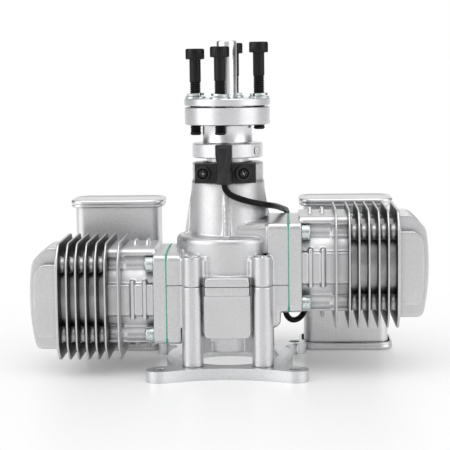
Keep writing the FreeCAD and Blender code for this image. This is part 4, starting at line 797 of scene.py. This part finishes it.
def panel_corners():
    """What is cut off the front panel to round its two lower corners."""
    pivot_x = panel_half - panel_corner
    pivot_z = panel_low + panel_corner
    made = []
    for sign in (-1, 1):
        outline = [(panel_half + 0.6, panel_low - 0.6), (panel_half + 0.6, pivot_z + 0.2),
                   (panel_half, pivot_z)]
        outline += [(pivot_x + panel_corner * math.cos(math.pi / 16 * k),
                     pivot_z - panel_corner * math.sin(math.pi / 16 * k)) for k in range(1, 8)]
        outline += [(pivot_x, panel_low), (pivot_x - 0.2, panel_low - 0.6)]
        made.append(skin_between([[(sign * x, y, z) for x, z in outline] for y in (-33.0, -27.6)]))
    return made


def panel_foot():
    """The front panel's lower edge, drawn out into the pillars by wide fillets."""
    outline = [(-14.5, 22.4), (-13.0, 20.6), (13.0, 20.6), (14.5, 22.4), (14.5, 27.0), (-14.5, 27.0)]
    return skin_between([[(x, y, z) for x, z in outline] for y in (-24.0, -27.4)])


def panel_skirt():
    """The front panel's lowest strip, which its rounded corners are cut from."""
    top = 27.0
    outline = [(-panel_half, panel_low), (panel_half, panel_low), (panel_half, top), (-panel_half, top)]
    return skin_between([[(x, y, z) for x, z in outline] for y in (-27.0, -31.0)])


# Cooling fins: thin plates with rounded rims and tool holes

fin_places = (56.3, 63.1, 68.0, 73.1, 78.2, 83.0, 88.2)
fin_corners = ((-23.3, 30.1), (23.3, 30.1), (31.8, 21.7), (31.8, -23.5), (23.3, -31.9), (-23.3, -31.9),
               (-31.8, -23.5), (-31.8, 21.7))
fin_rim = ((0.0, 0.14), (0.08, 0.36), (0.26, 0.48), (0.8, 0.53), (5.0, 0.62))
fin_easing = 2.8
fin_bow = 1.2


def fin_outline():
    """The fin's outline with soft corners and slightly bowed front and back edges."""
    outline = []
    for k, corner in enumerate(fin_corners):
        before = fin_corners[k - 1]
        after = fin_corners[(k + 1) % len(fin_corners)]
        here = Vector(corner)
        back = here + (Vector(before) - here).normalized() * fin_easing
        ahead = here + (Vector(after) - here).normalized() * fin_easing
        outline += [back.lerp(here, s / 6).lerp(here.lerp(ahead, s / 6), s / 6) for s in range(7)]
        next_back = Vector(after) + (here - Vector(after)).normalized() * fin_easing
        outline += [ahead.lerp(next_back, s / 5) for s in range(1, 5)]
    bowed = []
    for y, z in outline:
        bow = fin_bow * max(0.0, 1 - ((z + 0.9) / 22.6) ** 2) * (abs(y) / 31.8) ** 8
        bowed.append(Vector((y + math.copysign(bow, y), z)))
    return bowed


def fin_mesh(name, half):
    outline = fin_outline()
    count = len(outline)
    loops = []

    def loop(inset, x):
        points = []
        for k, point in enumerate(outline):
            along = (outline[(k + 1) % count] - outline[k - 1]).normalized()
            inward = Vector((along.y, -along.x))
            y, z = point + inward * inset
            points.append((-z, y, x))
        return points

    def root(x):
        return [(-z * 21.6 / math.hypot(y, z), y * 21.6 / math.hypot(y, z), x) for y, z in outline]
    scale = half / 0.7
    for inset, x in fin_rim:
        loops.append(loop(inset, x * scale))
    loops += [root(half), root(-half)]
    for inset, x in reversed(fin_rim):
        loops.append(loop(inset, -x * scale))
    loops.append(loops[0])
    return mesh_from(name, *ring_stack(loops))


def plug_recess(sign, height):
    """The round space in the fins through which a socket reaches the spark plug."""
    slant = math.radians(plug_slant)
    ends = [(sign * (88.0 + d * math.cos(slant)), 6.0 + d * math.sin(slant), height) for d in (7.5, 60.0)]
    return rod_mesh(*ends, 11.0)


def spool_mesh():
    """The short tube that joins two fins around a tool hole, flared where it meets them."""
    profile = ((3.3, -2.2), (5.1, -2.2), (4.45, -1.65), (4.05, -0.9), (3.95, 0.0), (4.05, 0.9),
               (4.45, 1.65), (5.1, 2.2), (3.3, 2.2), (3.3, -2.2))
    return turned_mesh("spool", profile, 28)


def cooling_fins():
    out, up = base_screw_offset
    middles = [(near + far) / 2 for near, far in zip(fin_places[1:], fin_places[2:])]
    for side, sign in side_sign.items():
        height = crank_heights[side]
        seats = [((sign * x, y, height + z), (1, 0, 0))
                 for x in middles for y in (-out, out) for z in (-up, up)]
        fasteners(side + "_tool_tubes", spool_mesh(), seats, "cast_aluminium", "engine_case", (), 0.0)
        seats = [((sign * x, 0, height), (1, 0, 0)) for x in fin_places[:-1]]
        body = fasteners(side + "_fins", fin_mesh(side + "_fin", 0.7), seats,
                         "fin_aluminium", "engine_case", (), 0.0)
        last = fasteners(side + "_last_fin", fin_mesh(side + "_end_fin", 0.95),
                         [((sign * fin_places[-1], 0, height), (1, 0, 0))],
                         "fin_aluminium", "engine_case", (), 0.0)
        tools = [rod_mesh((sign * 50, sy * out, height + sz * up), (sign * 92, sy * out, height + sz * up),
                          tool_hole_radius) for sy in (-1, 1) for sz in (-1, 1)]
        for piece in (body, last):
            carve(piece, joined("tools", tools), joined("recess", [plug_recess(sign, height)]))
            if side == "left":
                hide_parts("cylinder_fins")


cooling_fins()


# Cylinder heads: seven upright plates on each, bevelled above and rounded below

head_rim = ((0.0, 0.35), (0.14, 0.74), (0.40, 0.98), (0.9, 1.06), (2.2, 1.06))
head_root = 88.2
head_outline = (104.9, 26.6, 27.4, 7.0, 4.0)
front_plate_outline = (102.0, 18.7, 20.2, 3.6, 2.9)
head_plate_pitch = 7.33
head_bow = 3.0


def bowed(outline):
    """Adds points along the long edges, and draws the outer edge back towards its ends."""
    fine = []
    for k, point in enumerate(outline):
        after = outline[(k + 1) % len(outline)]
        count = max(1, round((after - point).length / 2.5))
        fine += [point.lerp(after, s / count) for s in range(count)]
    reach = max(point.x for point in fine) - head_root
    return [Vector((point.x - head_bow * (point.x - head_root) / reach * (point.y / 27.0) ** 2, point.y))
            for point in fine]


def plate_skin(outline, rim, place):
    """A flat plate with rounded rims. place(u, v, w) gives a point, w being across the plate."""
    middle = sum(outline, Vector((0, 0))) / len(outline)
    loops = [[place(*middle, rim[-1][1])]]
    for inset, w in tuple(reversed(rim)) + tuple((i, -w) for i, w in rim):
        loops.append([place(*(point + (middle - point).normalized() * inset), w) for point in outline])
    loops.append([place(*middle, -rim[-1][1])])
    return ring_stack(loops)


def head_plates():
    for side, sign in side_sign.items():
        plates = []
        height = crank_heights[side]
        for k in range(-3, 4):
            reach, up, down, bevel, corner = front_plate_outline if abs(k) == 3 else head_outline
            outline = softened(((head_root, -down), (reach, -down), (reach, up - bevel), (reach - bevel, up),
                                (head_root, up)), (0.3, corner, corner * 0.8, corner * 0.8, 0.3))
            plates.append(plate_skin(bowed(outline), head_rim,
                                     lambda u, v, w, k=k: (sign * u, k * head_plate_pitch + w, height + v)))
        piece = piece_from(side + "_head", joined(side + "_head", plates), "fin_aluminium")
        carve(piece, joined("recess", [plug_recess(sign, height)]))
        settled(piece, "engine_case", "cast_aluminium", "head_fins")
        piece.data.materials[0] = finishes["cast_aluminium"]


head_plates()


# Timing sensor: a moulding with two screw rings and a creased boot

def sensor_moulding():
    rings = []
    for x, outer in zip(sensor_screw_x, (3.9, 4.4)):
        profile = ((2.75, -21.5), (2.75, -24.4), (2.95, -24.75), (3.3, -24.85), (outer - 0.25, -24.7),
                   (outer, -24.3), (outer, -21.5), (2.75, -21.5))
        loops = [[(x + r * math.cos(math.pi * k / 24), y, sensor_screw_z + r * math.sin(math.pi * k / 24))
                  for k in range(48)] for r, y in profile]
        rings.append(ring_stack(loops))
    creases = []
    for sign in (-1, 1):
        top = Vector((-1.05 + sign * 3.1, -29.75, 119.0))
        foot = Vector((-1.05 + sign * 1.0, -29.45, 109.2))
        creases.append(rod_mesh(top, foot, 0.65, 16))
    creases.append(rod_mesh((-4.1, -29.75, 119.0), (2.0, -29.75, 119.0), 0.6, 16))
    creases.append(rod_mesh((-1.05, -29.5, 109.4), (-1.05, -30.2, 103.5), 0.35, 16))
    return rings + creases


def pan_screws():
    profile = [(0, -3.0), (1.5, -3.0), (1.5, 0.0), (2.62, 0.0), (2.62, 0.75), (2.45, 1.2), (2.0, 1.6),
               (1.2, 1.85), (0, 1.95)]
    driver = []
    for turn in (0.0, math.pi / 2):
        loops = []
        for depth, long, wide in ((0.5, 0.6, 0.22), (2.4, 1.75, 0.42)):
            corners = ((-long, -wide), (long, -wide), (long, wide), (-long, wide))
            loops.append([(x * math.cos(turn) - y * math.sin(turn),
                           x * math.sin(turn) + y * math.cos(turn), depth) for x, y in corners])
        driver.append(skin_between(loops))
    screw = turned_mesh("pan_screw", profile, 48)
    master = bpy.data.objects.new("pan_screw_blank", screw)
    bpy.context.scene.collection.objects.link(master)
    carve(master, joined("driver_a", driver[:1]), joined("driver_b", driver[1:]))
    mesh = master.data
    bpy.data.objects.remove(master)
    seats = [((x, -22.95, sensor_screw_z), (0, -1, 0)) for x in sensor_screw_x]
    fasteners("sensor_cross_screws", mesh, seats, "black_steel", "engine_case", ["sensor_screws"], 0.35)
    # Painted glint: thin bars of bright ground steel sunk in each cross slot stand in for the highlights on
    # the slot edges.
    slot_glints = []
    for turn in (0.0, math.pi / 2):
        along = Vector((math.cos(turn), math.sin(turn), 0))
        slot_glints.append(rod_mesh(Vector((0, 0, 1.1)) - along * 1.3, Vector((0, 0, 1.1)) + along * 1.3, 0.3, 12))
    fasteners("worn_cross_slots", joined("worn_slot", slot_glints), seats, "ground_steel", "engine_case",
              ["sensor_screws"], 0.35)


pan_screws()
cast_skin("sensor_body", "hall_sensor", 0.22, 1, sensor_moulding())
cast_skin("front_casting", "front_crankcase", voxel_of_castings, 2,
          rib_fillets() + pillar_lobes(47.8, 61.4) + [panel_band(47.8, 52.5, 0.2, 2.6)])
cast_skin("rear_casting", "rear_crankcase", voxel_of_castings, 2,
          pillar_lobes(26.0, 47.8) + [panel_band(43.2, 47.8, 0.8, 0.2), panel_foot(), panel_skirt()],
          None, panel_corners())
cast_skin("left_barrel", "left_cylinder", voxel_of_castings, 3, (), "cast_aluminium")
cast_skin("right_barrel", "right_cylinder", voxel_of_castings, 3, (), "cast_aluminium")
for smooth_node in ("mounting_plate", "outlet_pipes", "carburettor_body", "spark_plug_shells",
                    "spark_plug_insulators", "spark_plug_terminals"):
    smooth_copy(smooth_node, slot_of[smooth_node], body_of[smooth_node])


# Studio

def stage_piece(name, points, material):
    mesh = bpy.data.meshes.new(name)
    mesh.from_pydata(points, [], [tuple(range(len(points)))])
    mesh.materials.append(material)
    piece = bpy.data.objects.new(name, mesh)
    bpy.context.scene.collection.objects.link(piece)
    return piece


def floor():
    material = bpy.data.materials.new("Floor paper")
    material.use_nodes = True
    graph = Graph(material.node_tree)
    place = graph.add("ShaderNodeTexCoord").outputs["Object"]
    distance = graph.add("ShaderNodeVectorMath", {0: place}, operation="LENGTH").outputs["Value"]
    paper = graph.add("ShaderNodeBsdfPrincipled", {"Base Color": grey(0.90), "Roughness": 0.34,
                                                   "Specular IOR Level": 0.35})
    white = graph.add("ShaderNodeEmission", {"Color": grey(1.0), "Strength": 1.0})
    rays = graph.add("ShaderNodeLightPath").outputs
    seen = graph.math("MAXIMUM", rays["Is Camera Ray"], rays["Is Glossy Ray"])
    outside = graph.ramp(distance, 0.05, 0.30, 0.20, 1.0)
    # Painted light: near the middle, under the mounting plate's window, up to 0.6 of the floor seen by camera
    # and glossy rays is plain white glow, which lifts the engine's shadow there.
    painted_light_under_plate = graph.ramp(distance, 0.024, 0.050, 0.6, 0.0)
    share = graph.math("MULTIPLY", graph.math("MAXIMUM", outside, painted_light_under_plate), seen)
    both = graph.add("ShaderNodeMixShader", {0: share, 1: paper.outputs[0], 2: white.outputs[0]})
    graph.add("ShaderNodeOutputMaterial", {"Surface": both.outputs[0]})
    reach = 6.0
    corners = [(-reach, -reach, 0), (reach, -reach, 0), (reach, reach, 0), (-reach, reach, 0)]
    stage_piece("floor", corners, material)


def softbox(name, place, aim, size, power):
    light = bpy.data.lights.new(name, "AREA")
    light.shape = "RECTANGLE"
    light.size, light.size_y = size
    light.energy = power
    lamp = bpy.data.objects.new(name, light)
    bpy.context.scene.collection.objects.link(lamp)
    lamp.location = place
    lamp.rotation_mode = "QUATERNION"
    lamp.rotation_quaternion = (Vector(aim) - Vector(place)).to_track_quat("-Z", "Y")
    lamp.visible_camera = False


# Direction, cosines at which it begins and is full, and how much it adds to the room's light
room_lights = (
    ((0.0, 1.0, 0.10), 0.78, 0.95, 0.50),
    ((-0.87, 0.50, 0.0), 0.70, 0.95, -0.42),
    ((0.87, 0.50, 0.0), 0.72, 0.96, -0.30),
    ((-0.86, -0.44, 0.24), 0.78, 0.98, 1.8),
    ((0.88, -0.42, 0.25), 0.80, 0.98, 1.3),
    ((0.0, -0.2, 1.0), 0.50, 0.92, 0.55),
)


def studio():
    floor()
    world = bpy.data.worlds.new("Studio")
    bpy.context.scene.world = world
    world.use_nodes = True
    graph = Graph(world.node_tree)
    rays = graph.add("ShaderNodeLightPath").outputs
    toward = graph.add("ShaderNodeTexCoord").outputs["Generated"]
    level = 0.50
    for aim, near, far, share in room_lights:
        aim = Vector(aim).normalized()
        facing = graph.add("ShaderNodeVectorMath", {0: toward, 1: tuple(aim)},
                           operation="DOT_PRODUCT").outputs["Value"]
        spread = graph.add("ShaderNodeMapRange", {"Value": facing, "From Min": near, "From Max": far,
                                                  "To Min": 0.0, "To Max": share},
                           interpolation_type="SMOOTHSTEP").outputs[0]
        level = graph.math("ADD", level, spread)
    level = graph.mix(rays["Is Camera Ray"], level, grey(1.0))
    sky = graph.add("ShaderNodeBackground", {"Color": level, "Strength": 1.0})
    graph.add("ShaderNodeOutputWorld", {"Surface": sky.outputs[0]})
    softbox("Top softbox", (0.0, -0.25, 1.3), (0, 0, 0), (0.9, 0.9), 3.5)


studio()

view = bpy.context.scene.view_settings
view.view_transform = "Standard"
